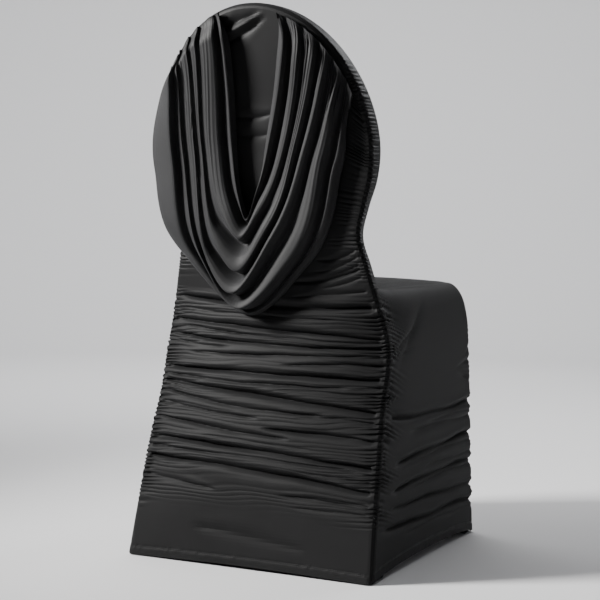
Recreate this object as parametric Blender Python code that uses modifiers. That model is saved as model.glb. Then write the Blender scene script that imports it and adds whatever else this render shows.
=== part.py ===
"""Ruched stretch cover for a banquet chair with an oval back.

The cover stands as it hangs on the chair, and is hollow.
X runs to the right seen from behind, Y runs to the front of the seat, Z is up.
The origin is on the floor, under the middle of the cover's box.
"""

import math

import bmesh
import bpy
import numpy as np

COLLECTION_NAME = "ruched_chair_cover"

# Cloth and seams
CLOTH = 0.002
HALF_TURN = 0.7
SEAM_GAP = 0.0006
SEAM_IN = 0.0034
SEAM_TURN = 0.006
EDGE_TURN = 0.0101
TURN_STEP = 0.0008
HALF_GAP = SEAM_GAP / 2 * math.sqrt(0.5)

# Main sizes
REAR_HEM = -0.2415
TOTAL_HEIGHT = 0.944
SEAT_HEIGHT = 0.476
BACKREST_DEPTH = 0.047
CROWN_HALF_WIDTH = 0.200
CROWN_CENTRE = 0.707
CROWN_RISE = TOTAL_HEIGHT - CROWN_CENTRE
CROWN_END = math.radians(60)
ARCHED_FROM = 0.562
FLATTEST_ARCH = 0.02

# The back, a row for each height: half width, how far the panel's middle and its side
# edges stand forward of the rear hem, and how much narrower the front of the backrest is
BACK = np.array((
    # height, half_width, middle, edge, front_narrower
    (0.0000, 0.2345, 0.000, 0.000, 0.000),
    (0.1000, 0.2290, 0.014, 0.023, 0.000),
    (0.2000, 0.2235, 0.029, 0.049, 0.000),
    (0.2900, 0.2175, 0.048, 0.078, 0.000),
    (0.3500, 0.2178, 0.060, 0.096, 0.000),
    (0.3950, 0.2120, 0.066, 0.101, 0.006),
    (0.4350, 0.2020, 0.067, 0.094, 0.010),
    (0.4760, 0.1915, 0.066, 0.083, 0.011),
    (0.5150, 0.1820, 0.063, 0.074, 0.012),
    (0.5620, 0.1725, 0.057, 0.062, 0.013),
    (0.6100, 0.1820, 0.052, 0.057, 0.009),
    (0.6550, 0.1945, 0.047, 0.052, 0.003),
    (0.7070, 0.2000, 0.040, 0.046, 0.000),
    (0.7850, 0.1888, 0.024, 0.030, 0.000),
    (0.8500, 0.1593, 0.005, 0.010, 0.000),
    (0.9440, 0.0000, -0.018, -0.018, 0.000),
))
HALF_WIDTH, MIDDLE, EDGE, NARROWER = 1, 2, 3, 4

# The strip round the backrest's edge, a row for each line from its front face to the back seam:
# how far in from the outline, and how far forward of the back panel's face
FACE_CORNER = 0.012
PADDING = 0.010
EDGE_STRIP = (
    # step_in, forward
    (0.0060, BACKREST_DEPTH - 0.0016),
    (0.0, BACKREST_DEPTH - FACE_CORNER),
    (-0.0006, 0.022),
    (0.0, EDGE_TURN),
    (TURN_STEP, SEAM_TURN),
    (SEAM_IN - HALF_GAP, SEAM_IN + HALF_GAP),
)

# The skirt's edge at its rear seams, a row for each line: how far in, and how far forward
SEAM_STEPS = (
    # step_in, forward
    (SEAM_IN - HALF_GAP, SEAM_IN + HALF_GAP),
    (TURN_STEP, SEAM_TURN),
    (0.0, EDGE_TURN),
)

# The seat and the skirt below it, a row for each height: half width at the rear and at the
# front, how far the front stands forward of the rear hem, and the front corner's radius
SEAT = np.array((
    # height, rear_half, front_half, front, corner
    (0.000, 0.2345, 0.224, 0.502, 0.014),
    (0.200, 0.2240, 0.219, 0.498, 0.018),
    (0.360, 0.2180, 0.215, 0.495, 0.026),
    (0.400, 0.2155, 0.2145, 0.494, 0.032),
    (0.440, 0.2110, 0.211, 0.490, 0.042),
    (0.476, 0.2050, 0.206, 0.485, 0.050),
))
REAR_HALF, FRONT_HALF, FRONT, CORNER = 1, 2, 3, 4

# The turn from the seat's top to its sides, a row for each step: height, and how far in
SEAT_TURN = np.array((
    # height, inset
    (0.4740, 0.0240),
    (0.4680, 0.0110),
    (0.4570, 0.0040),
    (0.4430, 0.0010),
    (0.4280, 0.0),
))

# Long folds of the back panel, a row for each valley
BACK_FOLDS = np.array((
    # left_x, left_z, middle_z, right_x, right_z, depth, width
    (0.100, 0.522, 0.530, 0.187, 0.552, 0.0020, 0.006),
    (0.040, 0.484, 0.490, 0.184, 0.514, 0.0030, 0.006),
    (0.090, 0.461, 0.465, 0.184, 0.472, 0.0020, 0.006),
    (-0.170, 0.452, 0.440, 0.190, 0.445, 0.0070, 0.010),
    (-0.190, 0.412, 0.400, 0.210, 0.391, 0.0060, 0.008),
    (-0.190, 0.384, 0.376, 0.213, 0.375, 0.0055, 0.007),
    (-0.060, 0.352, 0.358, 0.214, 0.362, 0.0035, 0.006),
    (0.060, 0.343, 0.346, 0.214, 0.347, 0.0040, 0.006),
    (-0.200, 0.326, 0.325, 0.214, 0.324, 0.0080, 0.008),
    (-0.180, 0.312, 0.307, 0.130, 0.309, 0.0035, 0.006),
    (-0.205, 0.302, 0.288, 0.214, 0.269, 0.0080, 0.008),
    (-0.170, 0.282, 0.266, 0.070, 0.262, 0.0040, 0.007),
    (-0.205, 0.264, 0.257, -0.050, 0.251, 0.0035, 0.007),
    (-0.205, 0.238, 0.226, 0.020, 0.220, 0.0055, 0.008),
    (0.080, 0.231, 0.229, 0.216, 0.224, 0.0060, 0.008),
    (-0.205, 0.205, 0.196, 0.216, 0.181, 0.0080, 0.008),
    (-0.213, 0.172, 0.163, 0.216, 0.143, 0.0080, 0.009),
    (-0.215, 0.139, 0.133, -0.100, 0.126, 0.0035, 0.007),
    (0.100, 0.122, 0.121, 0.224, 0.120, 0.0035, 0.007),
))
FOLD_FADE = 0.030
SEAM_FADE = 0.020
FOLD_TILT = 0.050

# Short gathers beside the back panel's seams
GATHER_PITCH = 0.018
GATHER_DEPTH = 0.0013
GATHER_REACH = 0.055
GATHERED_FROM = 0.09
GATHERED_TO = 0.46

# The seat's edge against the backrest: how far each line lies forward of the backrest's face
SEAT_LEDGE = (-0.0035, 0.005, 0.014)
SEAT_CROWN = 0.012

# The skirt's hem: how far it lifts between its corners, and where the skirt is drawn in at the seam
SIDE_HEM_LIFT = 0.0165
FRONT_HEM_LIFT = 0.009
REAR_HEM_LIFT = 0.004
HEM_FADE = 0.20
CORNER_TURNS = (math.radians(45), math.radians(72))
SMALLEST_CORNER = 0.006
PINCH_RUN = 0.055
ROLL_RUN = 0.07
FRONT_BULGE = 0.004

# Long folds of the side skirts, a row for each valley, along the skirt from its rear seam
SIDE_FOLDS = np.array((
    # start, start_z, middle_z, end_z, depth, width
    (0.010, 0.262, 0.250, 0.251, 0.0060, 0.011),
    (0.110, 0.228, 0.228, 0.225, 0.0035, 0.011),
    (0.060, 0.178, 0.184, 0.191, 0.0075, 0.011),
    (0.050, 0.134, 0.136, 0.140, 0.0065, 0.011),
    (0.040, 0.102, 0.095, 0.091, 0.0050, 0.011),
    (0.020, 0.078, 0.057, 0.062, 0.0065, 0.011),
))

SIDE_FOLD_RUN = 0.40
SIDE_FOLD_FADE = 0.06
FRONT_FOLD_SHARE = 0.35

# The swag's folds from its open top down to its hem, a row for each fold. Each runs from the
# left shoulder seam past three places to its lowest point, and up again to the right seam.
SWAG_FOLDS = np.array((
    # left_angle, right_angle, left_top x z, left_side_x, left_low x z, bottom x z, right_low x z,
    # right_side_x, right_top x z, side_z, stand_off on the arms and at the bottom, left_run, right_run
    (16, 17, -0.043, 0.875, -0.047, -0.037, 0.628, -0.021, 0.587, -0.003, 0.632,
     0.021, 0.064, 0.870, 0.712, 0.020, 0.028, 0.10, 0.14),
    (22, 27, -0.072, 0.868, -0.085, -0.066, 0.602, -0.031, 0.556, 0.004, 0.601,
     0.053, 0.091, 0.860, 0.712, 0.024, 0.038, 0.09, 0.14),
    (30, 37, -0.096, 0.860, -0.104, -0.082, 0.552, -0.034, 0.502, 0.021, 0.575,
     0.073, 0.116, 0.845, 0.710, 0.025, 0.043, 0.08, 0.15),
    (37, 46, -0.113, 0.848, -0.118, -0.096, 0.512, -0.042, 0.464, 0.026, 0.552,
     0.092, 0.132, 0.822, 0.705, 0.026, 0.043, 0.08, 0.16),
    (45, 56, -0.137, 0.825, -0.140, -0.112, 0.520, -0.038, 0.436, 0.056, 0.520,
     0.118, 0.148, 0.790, 0.690, 0.026, 0.036, 0.09, 0.18),
    (53, 67, -0.190, 0.788, -0.2095, -0.162, 0.527, -0.033, 0.427, 0.080, 0.513,
     0.150, 0.162, 0.748, 0.672, 0.012, 0.012, 0.10, 0.22),
))
ARM, LIP, LEFT_RUN, RIGHT_RUN = 15, 16, 17, 18
FOLD_STATIONS = np.array((0.0, 0.11, 0.28, 0.42, 0.50, 0.58, 0.74, 0.89, 1.0))

# The valleys between one fold and the next: where each lies on the left arms, at the bottom and
# on the right arms, how deep it is, and how far the roll that follows it stands out
SWAG_VALLEYS = np.array((
    # left_place, left_drop, left_roll, left_rise_at, low_place, low_stand_off, right_place, right_drop, right_roll
    (0.34, 0.019, 0.000, 0.60, 0.20, 0.016, 0.50, 0.016, 0.000),
    (0.74, 0.011, 0.000, 0.60, 0.20, 0.014, 0.50, 0.014, 0.000),
    (0.74, 0.010, 0.000, 0.60, 0.20, 0.014, 0.50, 0.014, 0.000),
    (0.74, 0.012, 0.002, 0.60, 0.22, 0.014, 0.50, 0.017, 0.000),
    (0.20, 0.015, 0.024, 0.14, 0.30, 0.008, 0.46, 0.012, 0.009),
))

# A fold's section, at the bottom and on the left and right arms: where the fall to the valley and
# the rise after it have their middle points, and how high these stand
LOW_SECTION = (0.50, 0.62, 0.50, 0.75)
LEFT_SECTION = (0.48, 0.62, 0.00, 0.86)
RIGHT_SECTION = (0.55, 0.70, 0.45, 0.78)
SEWN_STAND_OFF = 0.0028
SEWN_PLEAT = 0.005
SEWN_INSETS = np.array((0.0062, 0.0108))
LIP_RUN = 0.11
EDGE_RETURN = 0.007
EDGE_RETURN_DROP = 0.012
HEM_RETURN = 0.0035
LEAST_DEPTH = 0.004
LEAST_CLEARANCE = 0.001

# Foot pockets
FRONT_POCKET_GAP = 0.0004
REAR_POCKET_GAP = 0.0007
POCKET_STEPS = (
    # reach from the corner, height
    (0.020, 0.0025),
    (0.036, 0.0025),
    (0.046, 0.0025),
    (0.052, 0.0095),
    (0.052, 0.0240),
    (0.052, 0.0380),
)

# Grid lines of the panels
BACK_COLUMNS = 16
FOLD_STEP = 0.009
LOW_LEVELS = (0.0, 0.035, 0.070)
UPPER_LEVELS = np.array((
    0.4760, 0.4920, 0.5150, 0.5400, 0.5620, 0.5850, 0.6100, 0.6350, 0.6600, 0.6850, 0.7100,
    0.7400, 0.7700, 0.8000, CROWN_CENTRE + CROWN_RISE * math.cos(CROWN_END),
))
SEAT_LINES = np.array((-1.0, -0.93, -0.76, -0.51, -0.26, 0.0, 0.26, 0.51, 0.76, 0.93, 1.0))
SIDE_LINES = (0.07, 0.20, 0.40, 0.62, 0.84, 1.0)
SIDE_COLUMNS = len(SIDE_LINES) + len(SEAM_STEPS)
SKIRT_STEP = 0.0155
SWAG_COLUMNS = 32
POCKET_COLUMNS = 6


def curve(table, column, at):
    """A smooth curve through one column: cubics between the rows, sloped as the neighbours lie."""
    across, values = table[:, 0], table[:, column]
    slopes = np.gradient(values, across)
    at = np.clip(np.asarray(at, float), across[0], across[-1])
    row = np.clip(np.searchsorted(across, at, side="right") - 1, 0, len(across) - 2)
    span = across[row + 1] - across[row]
    t = (at - across[row]) / span
    start = (2 * t**3 - 3 * t**2 + 1) * values[row] + (t**3 - 2 * t**2 + t) * span * slopes[row]
    end = (3 * t**2 - 2 * t**3) * values[row + 1] + (t**3 - t**2) * span * slopes[row + 1]
    return start + end


def ease(value):
    """Zero to one with level ends."""
    value = np.clip(value, 0.0, 1.0)
    return value * value * (3 - 2 * value)


def half_width(height):
    """Half width of the back: the table up to the oval's widest place, an ellipse above."""
    height = np.asarray(height, float)
    rise = np.clip((height - CROWN_CENTRE) / CROWN_RISE, 0.0, 1.0)
    oval = CROWN_HALF_WIDTH * np.sqrt(1 - rise**2)
    return np.where(height > CROWN_CENTRE, oval, curve(BACK, HALF_WIDTH, height))


def back_y(x, height):
    """The back panel's plain surface: its middle line, bent forward to the edge line at the sides."""
    middle = curve(BACK, MIDDLE, height)
    edge = curve(BACK, EDGE, height)
    part = np.clip(np.abs(x) / np.maximum(half_width(height), 0.06), 0.0, 1.05)
    return REAR_HEM + middle + (edge - middle) * part**2.5


def outline_side(heights):
    """Points (x, z) of the outline's right side at these heights, with its outward directions."""
    step = 0.001
    heights = np.asarray(heights, float)
    slope = (half_width(heights + step) - half_width(np.maximum(heights - step, 0.0))) / (2 * step)
    slope = np.where(heights < step, slope * 2, slope)
    length = np.sqrt(1 + slope**2)
    return half_width(heights), heights, 1 / length, -slope / length


def outline_crown(angles):
    """Points (x, z) of the crown's ellipse at these angles from the top, with its outward directions."""
    x = CROWN_HALF_WIDTH * np.sin(angles)
    z = CROWN_CENTRE + CROWN_RISE * np.cos(angles)
    across = np.sin(angles) / CROWN_HALF_WIDTH
    upward = np.cos(angles) / CROWN_RISE
    length = np.hypot(across, upward)
    return x, z, across / length, upward / length


def outline_path(levels, columns):
    """The outline up the left side, over the crown and down the right side."""
    x, z, out_x, out_z = outline_side(levels)
    crown = outline_crown(np.linspace(-CROWN_END, CROWN_END, columns + 1)[1:-1])
    left = (-x, z, -out_x, out_z)
    right = (x[::-1], z[::-1], out_x[::-1], out_z[::-1])
    return [np.concatenate(parts) for parts in zip(left, crown, right)]


def seam_line(path, inset, forward):
    """Points along a path on the outline, moved this far in and this far forward of the back's face."""
    path_x, path_z, out_x, out_z = path
    face_y = back_y(path_x - EDGE_TURN * out_x, path_z - EDGE_TURN * out_z)
    return np.stack((path_x - inset * out_x, face_y + forward, path_z - inset * out_z), axis=-1)


def oval_patch(levels, columns, inset):
    """Points (x, z) of a panel inside the outline: level rows below that arch up to the crown's arc."""
    u = np.linspace(-1, 1, columns + 1)
    x, z, out_x, out_z = outline_side(levels)
    edge_x, edge_z = x - inset * out_x, z - inset * out_z
    share = np.clip((levels - ARCHED_FROM) / (levels[-1] - ARCHED_FROM), 0.0, 1.0)
    middle_z = levels + share * (TOTAL_HEIGHT - inset - levels[-1])
    angle = np.maximum(share * CROWN_END, FLATTEST_ARCH)[:, None]
    grid_x = edge_x[:, None] * np.sin(angle * u) / np.sin(angle)
    arch = (np.cos(angle * u) - np.cos(angle)) / (1 - np.cos(angle))
    grid_z = edge_z[:, None] + (middle_z - edge_z)[:, None] * arch
    crown_x, crown_z, crown_out_x, crown_out_z = outline_crown(u * CROWN_END)
    grid_x[-1] = crown_x - inset * crown_out_x
    grid_z[-1] = crown_z - inset * crown_out_z
    return grid_x, grid_z


def add_grid(bm, points):
    """Adds a grid of faces whose corners are points[row, column]."""
    rows, columns = points.shape[:2]
    made = bmesh.ops.create_grid(bm, x_segments=columns - 1, y_segments=rows - 1, size=1)
    for vert in made["verts"]:
        column = round((vert.co.x + 1) / 2 * (columns - 1))
        row = round((vert.co.y + 1) / 2 * (rows - 1))
        vert.co = points[row, column]


def make_sheet(name, grids, collection, material):
    """One piece of cloth: its grids joined along their shared edges, thickened inwards."""
    bm = bmesh.new()
    for points in grids:
        add_grid(bm, points)
    bmesh.ops.remove_doubles(bm, verts=bm.verts, dist=0.00005)
    mesh = bpy.data.meshes.new(name)
    bm.to_mesh(mesh)
    bm.free()
    mesh.shade_smooth()
    sheet = bpy.data.objects.new(name, mesh)
    sheet.data.materials.append(material)
    wall = sheet.modifiers.new("Cloth", "SOLIDIFY")
    wall.thickness = CLOTH
    wall.offset = -1.0
    collection.objects.link(sheet)
    return sheet


def stretch_knit(name, shade):
    """Black stretch knit, softly shiny."""
    material = bpy.data.materials.new(name)
    material.use_nodes = True
    shader = material.node_tree.nodes["Principled BSDF"]
    shader.inputs["Base Color"].default_value = (shade, shade, shade, 1.0)
    shader.inputs["Roughness"].default_value = 0.6
    shader.inputs["Metallic"].default_value = 0.0
    return material


def back_levels():
    """Heights of the back panel's rows: wide apart when plain, close together where it is ruched."""
    ruched = np.arange(GATHERED_FROM, GATHERED_TO, FOLD_STEP)
    return np.concatenate((LOW_LEVELS, ruched, UPPER_LEVELS))


def back_folds(x, z, level):
    """How far the back panel is drawn in by its long folds and its gathers."""
    side = np.abs(x) / half_width(z)
    from_seam = half_width(z) * (1 - side)
    at_seam = ease((from_seam - EDGE_TURN) / SEAM_FADE)
    drawn_in = np.zeros_like(x)
    for left_x, left_z, middle_z, right_x, right_z, depth, width in BACK_FOLDS:
        t = (x - left_x) / (right_x - left_x)
        line = left_z * (1 - t) * (1 - 2 * t) + 4 * middle_z * t * (1 - t) + right_z * t * (2 * t - 1)
        within = ease((x - left_x) / FOLD_FADE + 0.5) * ease((right_x - x) / FOLD_FADE + 0.5)
        drawn_in += depth * within * np.exp(-(((z - line) / width) ** 2))
    ruched = ease((level - GATHERED_FROM) / 0.03) * ease((GATHERED_TO - level) / 0.03)
    near_seam = np.exp(-from_seam / GATHER_REACH)
    gathers = np.cos(2 * np.pi * (level - GATHERED_FROM) / GATHER_PITCH)
    drawn_in += GATHER_DEPTH * ruched * near_seam * gathers
    return drawn_in * at_seam


def make_back_panel(collection, material):
    """The outer back, with its edges turned forward by half a corner to the seams."""
    levels = back_levels()
    x, z = oval_patch(levels, BACK_COLUMNS, EDGE_TURN)
    level = np.repeat(levels[:, None], BACK_COLUMNS + 1, axis=1)
    tilted = ease((level - 0.03) / 0.10) * ease((0.52 - level) / 0.08)
    side = x / half_width(level)
    z = z - tilted * FOLD_TILT * x * (1 - side**2)
    y = back_y(x, z) + back_folds(x, z, level)
    hem_lift = REAR_HEM_LIFT * (1 - side**2) * ease(1 - level / 0.05)
    patch = np.stack((x, y, z + hem_lift), axis=-1)

    path = outline_path(levels, BACK_COLUMNS)
    edge = np.concatenate((patch[:, 0], patch[-1, 1:-1], patch[::-1, -1]))
    turned = seam_line(path, SEAM_TURN, TURN_STEP)
    sewn = seam_line(path, SEAM_IN + HALF_GAP, SEAM_IN - HALF_GAP)
    band = np.stack((edge, turned, sewn))
    return make_sheet("back_panel", (patch, band), collection, material)


def make_inside_back(collection, material):
    """The front of the backrest and the strip round its edge, standing on the seat."""
    x, z = oval_patch(UPPER_LEVELS, BACK_COLUMNS, FACE_CORNER)
    narrower = curve(BACK, NARROWER, z)
    part = np.clip(np.abs(x) / np.maximum(half_width(z), 0.06), 0, 1)
    padding = PADDING * (1 - part**2) * ease((z - SEAT_HEIGHT) / 0.10)
    y = back_y(x, z) + BACKREST_DEPTH + padding
    x = x * (1 - narrower / half_width(z))
    standing = SEAT_HEIGHT + 2 * SEAM_GAP
    z = np.maximum(z, standing)
    patch = np.stack((-x, y, z), axis=-1)

    path = outline_path(UPPER_LEVELS, BACK_COLUMNS)
    edge = np.concatenate((patch[:, 0], patch[-1, 1:-1], patch[::-1, -1]))
    lean = curve(BACK, NARROWER, path[1]) / BACKREST_DEPTH
    band = [edge]
    for step_in, forward in EDGE_STRIP:
        row = seam_line(path, step_in + lean * max(forward - SEAM_TURN, 0.0), forward)
        row[:, 0] *= -1
        row[:, 2] = np.maximum(row[:, 2], standing)
        band.append(row)
    return make_sheet("inside_back", (patch, np.stack(band)), collection, material)


def seat_side(height, distance):
    """A point (x, y) of the right skirt at a height, this far from the rear corner towards the front."""
    rear_y = back_y(half_width(height), height)
    front_half = curve(SEAT, FRONT_HALF, height)
    rear_half = curve(SEAT, REAR_HALF, height)
    run = REAR_HEM + curve(SEAT, FRONT, height) - rear_y
    x = rear_half + (front_half - rear_half) * distance / run
    pinch = (half_width(height) - rear_half) * np.exp(-((distance / PINCH_RUN) ** 2))
    return x + pinch, rear_y + distance


def skirt_column(index, heights, inset):
    """Points of one column of the skirt. Columns run from the rear left corner round the front."""
    total = 2 * SIDE_COLUMNS + len(SEAT_LINES) - 1
    from_left = index <= total / 2
    order = index if from_left else total - index
    mirror = -1 if from_left else 1
    rear_y = back_y(half_width(heights), heights)
    corner = curve(SEAT, CORNER, heights)
    front_half = curve(SEAT, FRONT_HALF, heights)
    front_y = REAR_HEM + curve(SEAT, FRONT, heights)
    if order < len(SEAM_STEPS):
        step_in, forward = SEAM_STEPS[order]
        return seam_line(outline_side(heights), step_in, forward) * (mirror, 1, 1)
    if order < SIDE_COLUMNS:
        distance = SIDE_LINES[order - len(SEAM_STEPS)] * (front_y - corner - rear_y)
        x, y = seat_side(heights, distance)
        rolled = inset * ease(distance / ROLL_RUN)
        return np.stack((mirror * (x - rolled), y, heights), axis=-1)
    radius = np.maximum(corner - inset, SMALLEST_CORNER)
    centre_x = front_half - corner
    centre_y = front_y - corner
    step = order - SIDE_COLUMNS
    if step < len(CORNER_TURNS):
        turn = CORNER_TURNS[step]
        x = centre_x + radius * math.cos(turn)
        y = centre_y + radius * math.sin(turn)
    else:
        line = abs(SEAT_LINES[step])
        x = line * (centre_x + radius * math.cos(CORNER_TURNS[-1]))
        y = centre_y + radius + FRONT_BULGE * (1 - line**2)
    return np.stack((mirror * x, y, heights), axis=-1)


def skirt_columns(heights, inset):
    """All columns of the skirt at these heights, as points[row, column]."""
    total = 2 * SIDE_COLUMNS + len(SEAT_LINES) - 1
    return np.stack([skirt_column(index, heights, inset) for index in range(total + 1)], axis=1)


def side_folds(points):
    """How far the skirt is drawn in by its long folds, less on its front."""
    drawn_in = np.zeros(points.shape[:2])
    rear = points[:, :1, 1]
    for start, start_z, middle_z, end_z, depth, width in SIDE_FOLDS:
        distance = points[:, :, 1] - rear
        t = np.clip(distance / SIDE_FOLD_RUN, 0.0, 1.0)
        line = start_z * (1 - t) * (1 - 2 * t) + 4 * middle_z * t * (1 - t) + end_z * t * (2 * t - 1)
        within = ease((distance - start) / SIDE_FOLD_FADE)
        drawn_in += depth * within * np.exp(-(((points[:, :, 2] - line) / width) ** 2))
    drawn_in[:, SIDE_COLUMNS + 1:-SIDE_COLUMNS - 1] *= FRONT_FOLD_SHARE
    return drawn_in


def make_seat_skirt(collection, material):
    """The seat top and the skirt down its sides and front, open under the backrest and at the rear."""
    sides = SIDE_COLUMNS
    across = len(SEAT_LINES) - 1
    turn_heights, turn_insets = SEAT_TURN[:, 0], SEAT_TURN[:, 1]
    lowest_turn = turn_heights[-1]
    steps = round(lowest_turn / SKIRT_STEP)
    heights = np.concatenate((turn_heights, np.linspace(lowest_turn, 0, steps + 1)[1:]))
    insets = np.concatenate((turn_insets, np.zeros(steps)))
    band = skirt_columns(heights, insets)
    level_row = skirt_columns(np.array((SEAT_HEIGHT,)), np.zeros(1))[0]
    band[0, :2], band[0, -2:] = level_row[:2], level_row[-2:]
    band[0, 2, 2] = band[0, -3, 2] = SEAT_HEIGHT
    drawn_in = side_folds(band)
    outward = np.sign(band[:, :, 0])
    outward[:, sides + 1:-sides - 1] = 0
    forward = np.zeros_like(outward)
    forward[:, sides + 1:-sides - 1] = 1
    outward[:, (sides, -sides - 1)] *= HALF_TURN
    forward[:, (sides, -sides - 1)] = HALF_TURN
    band[:, :, 0] -= outward * drawn_in
    band[:, :, 1] -= forward * drawn_in
    side_lift = SIDE_HEM_LIFT * np.sqrt(np.sin(np.linspace(0, np.pi, sides + 1)))
    front_lift = FRONT_HEM_LIFT * np.sin(np.linspace(0, np.pi, across + 1))
    lift = np.concatenate((side_lift, front_lift[1:-1], side_lift))
    band[:, :, 2] += lift * ease(1 - band[:, :, 2] / HEM_FADE)

    ends = band[0]
    rows = sides + 1
    patch = np.zeros((rows, across + 1, 3))
    centre_x = half_width(SEAT_HEIGHT) - curve(BACK, NARROWER, SEAT_HEIGHT) - FACE_CORNER
    for row in range(rows):
        left, right = ends[row], ends[-1 - row]
        share = row / (rows - 1)
        if row < len(SEAT_LEDGE):
            ledge = SEAT_LEDGE[row]
            round_corner = HALF_TURN * (FACE_CORNER + ledge)
            x = centre_x * SEAT_LINES / SEAT_LINES[-3]
            x[1], x[-2] = -centre_x - round_corner, centre_x + round_corner
            y = back_y(np.clip(x, -centre_x, centre_x), SEAT_HEIGHT) + BACKREST_DEPTH + ledge
            y[1] = y[-2] = back_y(centre_x, SEAT_HEIGHT) + BACKREST_DEPTH - FACE_CORNER + round_corner
            z = np.full(across + 1, SEAT_HEIGHT)
        elif row == rows - 1:
            x, y, z = ends[sides:sides + across + 1].T
        else:
            rear_y = back_y(0, SEAT_HEIGHT) + BACKREST_DEPTH + SEAT_LEDGE[-1]
            front_y = ends[sides + across // 2][1]
            part = (row + 1 - len(SEAT_LEDGE)) / (rows - len(SEAT_LEDGE))
            middle_y = rear_y + (front_y - rear_y) * part**0.9
            bend = 10 - 7 * share
            x = right[0] * SEAT_LINES
            y = right[1] + (middle_y - right[1]) * (1 - np.abs(SEAT_LINES) ** bend)
            rise = SEAT_CROWN * math.sin(math.pi * share) + CLOTH
            z = right[2] + rise * (1 - np.abs(SEAT_LINES) ** 3)
        patch[row] = np.stack((x, y, z), axis=-1)
        patch[row, 0], patch[row, -1] = left, right
    return make_sheet("seat_skirt", (patch, band), collection, material)


def fold_line(row, stations):
    """Points (x, z) along one fold of the swag, from the left seam to the right seam."""
    left_x, right_x = (CROWN_HALF_WIDTH - SEWN_INSETS) * np.sin(np.radians(row[:2]))
    left_z, right_z = CROWN_CENTRE + (CROWN_RISE - SEWN_INSETS) * np.cos(np.radians(row[:2]))
    (left_top_x, left_top_z, left_side_x, left_low_x, left_low_z, bottom_x, bottom_z,
     right_low_x, right_low_z, right_side_x, right_top_x, right_top_z, side_z) = row[2:ARM]
    places = np.array((
        (-left_x, left_z), (left_top_x, left_top_z), (left_side_x, side_z), (left_low_x, left_low_z),
        (bottom_x, bottom_z),
        (right_low_x, right_low_z), (right_side_x, side_z), (right_top_x, right_top_z), (right_x, right_z),
    ))
    table = np.column_stack((FOLD_STATIONS, places))
    return curve(table, 1, stations), curve(table, 2, stations)


def swag_points(stations):
    """The swag's surface: rows through each fold, its valley and its sides, from the top down."""
    low = np.exp(-(((stations - 0.5) / LIP_RUN) ** 2))
    left = np.where(stations < 0.5, 1 - low, 0.0)
    right = np.where(stations < 0.5, 0.0, 1 - low)
    lines = [fold_line(row, stations) for row in SWAG_FOLDS]
    free = [ease(stations / row[LEFT_RUN]) * ease((1 - stations) / row[RIGHT_RUN]) for row in SWAG_FOLDS]
    pleated = SEWN_STAND_OFF + SEWN_PLEAT
    crests = [
        pleated + sewn * (row[ARM] - pleated + low * (row[LIP] - row[ARM]))
        for row, sewn in zip(SWAG_FOLDS, free)
    ]

    def place(x, z, stand_off):
        return np.stack((x, back_y(x, z) - stand_off, z), axis=-1)

    inward = np.where(stations < 0.5, 1.0, -1.0) * (1 - np.exp(-(((stations - 0.5) / (2 * LIP_RUN)) ** 2)))
    x, z = lines[0]
    sewn = free[0]
    rows = [place(x + sewn * EDGE_RETURN * inward, z + sewn * low * EDGE_RETURN,
                  np.maximum(crests[0] - sewn * EDGE_RETURN_DROP, SEWN_STAND_OFF))]
    fall_at, fall, rise_at, rise = (
        low * at_low + left * at_left + right * at_right
        for at_low, at_left, at_right in zip(LOW_SECTION, LEFT_SECTION, RIGHT_SECTION))
    for index, valley_row in enumerate(SWAG_VALLEYS):
        (left_place, left_drop, left_roll, left_rise_at, low_place, low_stand_off,
         right_place, right_drop, right_roll) = valley_row
        (x0, z0), (x1, z1) = lines[index], lines[index + 1]
        sewn = free[index + 1]
        valley_place = low * low_place + left * left_place + right * right_place
        roll = sewn * (left * left_roll + right * right_roll)
        top, bottom = crests[index], crests[index + 1]
        drop = SEWN_PLEAT + sewn * (left * left_drop + right * right_drop - (left + right) * SEWN_PLEAT)
        arm_valley = np.minimum(top, bottom + roll) - drop
        valley = arm_valley + low * (np.minimum(low_stand_off, bottom - LEAST_DEPTH) - arm_valley)
        valley = np.maximum(valley, SEWN_STAND_OFF + sewn * LEAST_CLEARANCE)
        between = (
            (np.zeros_like(low), top),
            (fall_at * valley_place, valley + fall * (top - valley)),
            (valley_place, valley),
            (valley_place + (rise_at + left * left_rise_at) * (1 - valley_place),
             valley + rise * (bottom - valley) + roll),
        )
        for share, stand_off in between:
            rows.append(place(x0 + (x1 - x0) * share, z0 + (z1 - z0) * share, stand_off))
    x, z = lines[-1]
    sewn = free[-1]
    rows.append(place(x, z, crests[-1]))
    turned_in = np.maximum(crests[-1] - sewn * EDGE_RETURN_DROP, SEWN_STAND_OFF + sewn * LEAST_CLEARANCE)
    rows.append(place(x + sewn * HEM_RETURN * inward, z - sewn * low * HEM_RETURN, turned_in))
    return np.stack(rows)[::-1]


def make_swag(collection, material):
    """The cowl drape, sewn on at both shoulders."""
    stations = np.linspace(0, 1, SWAG_COLUMNS + 1)
    return make_sheet("swag", (swag_points(stations),), collection, material)


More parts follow.
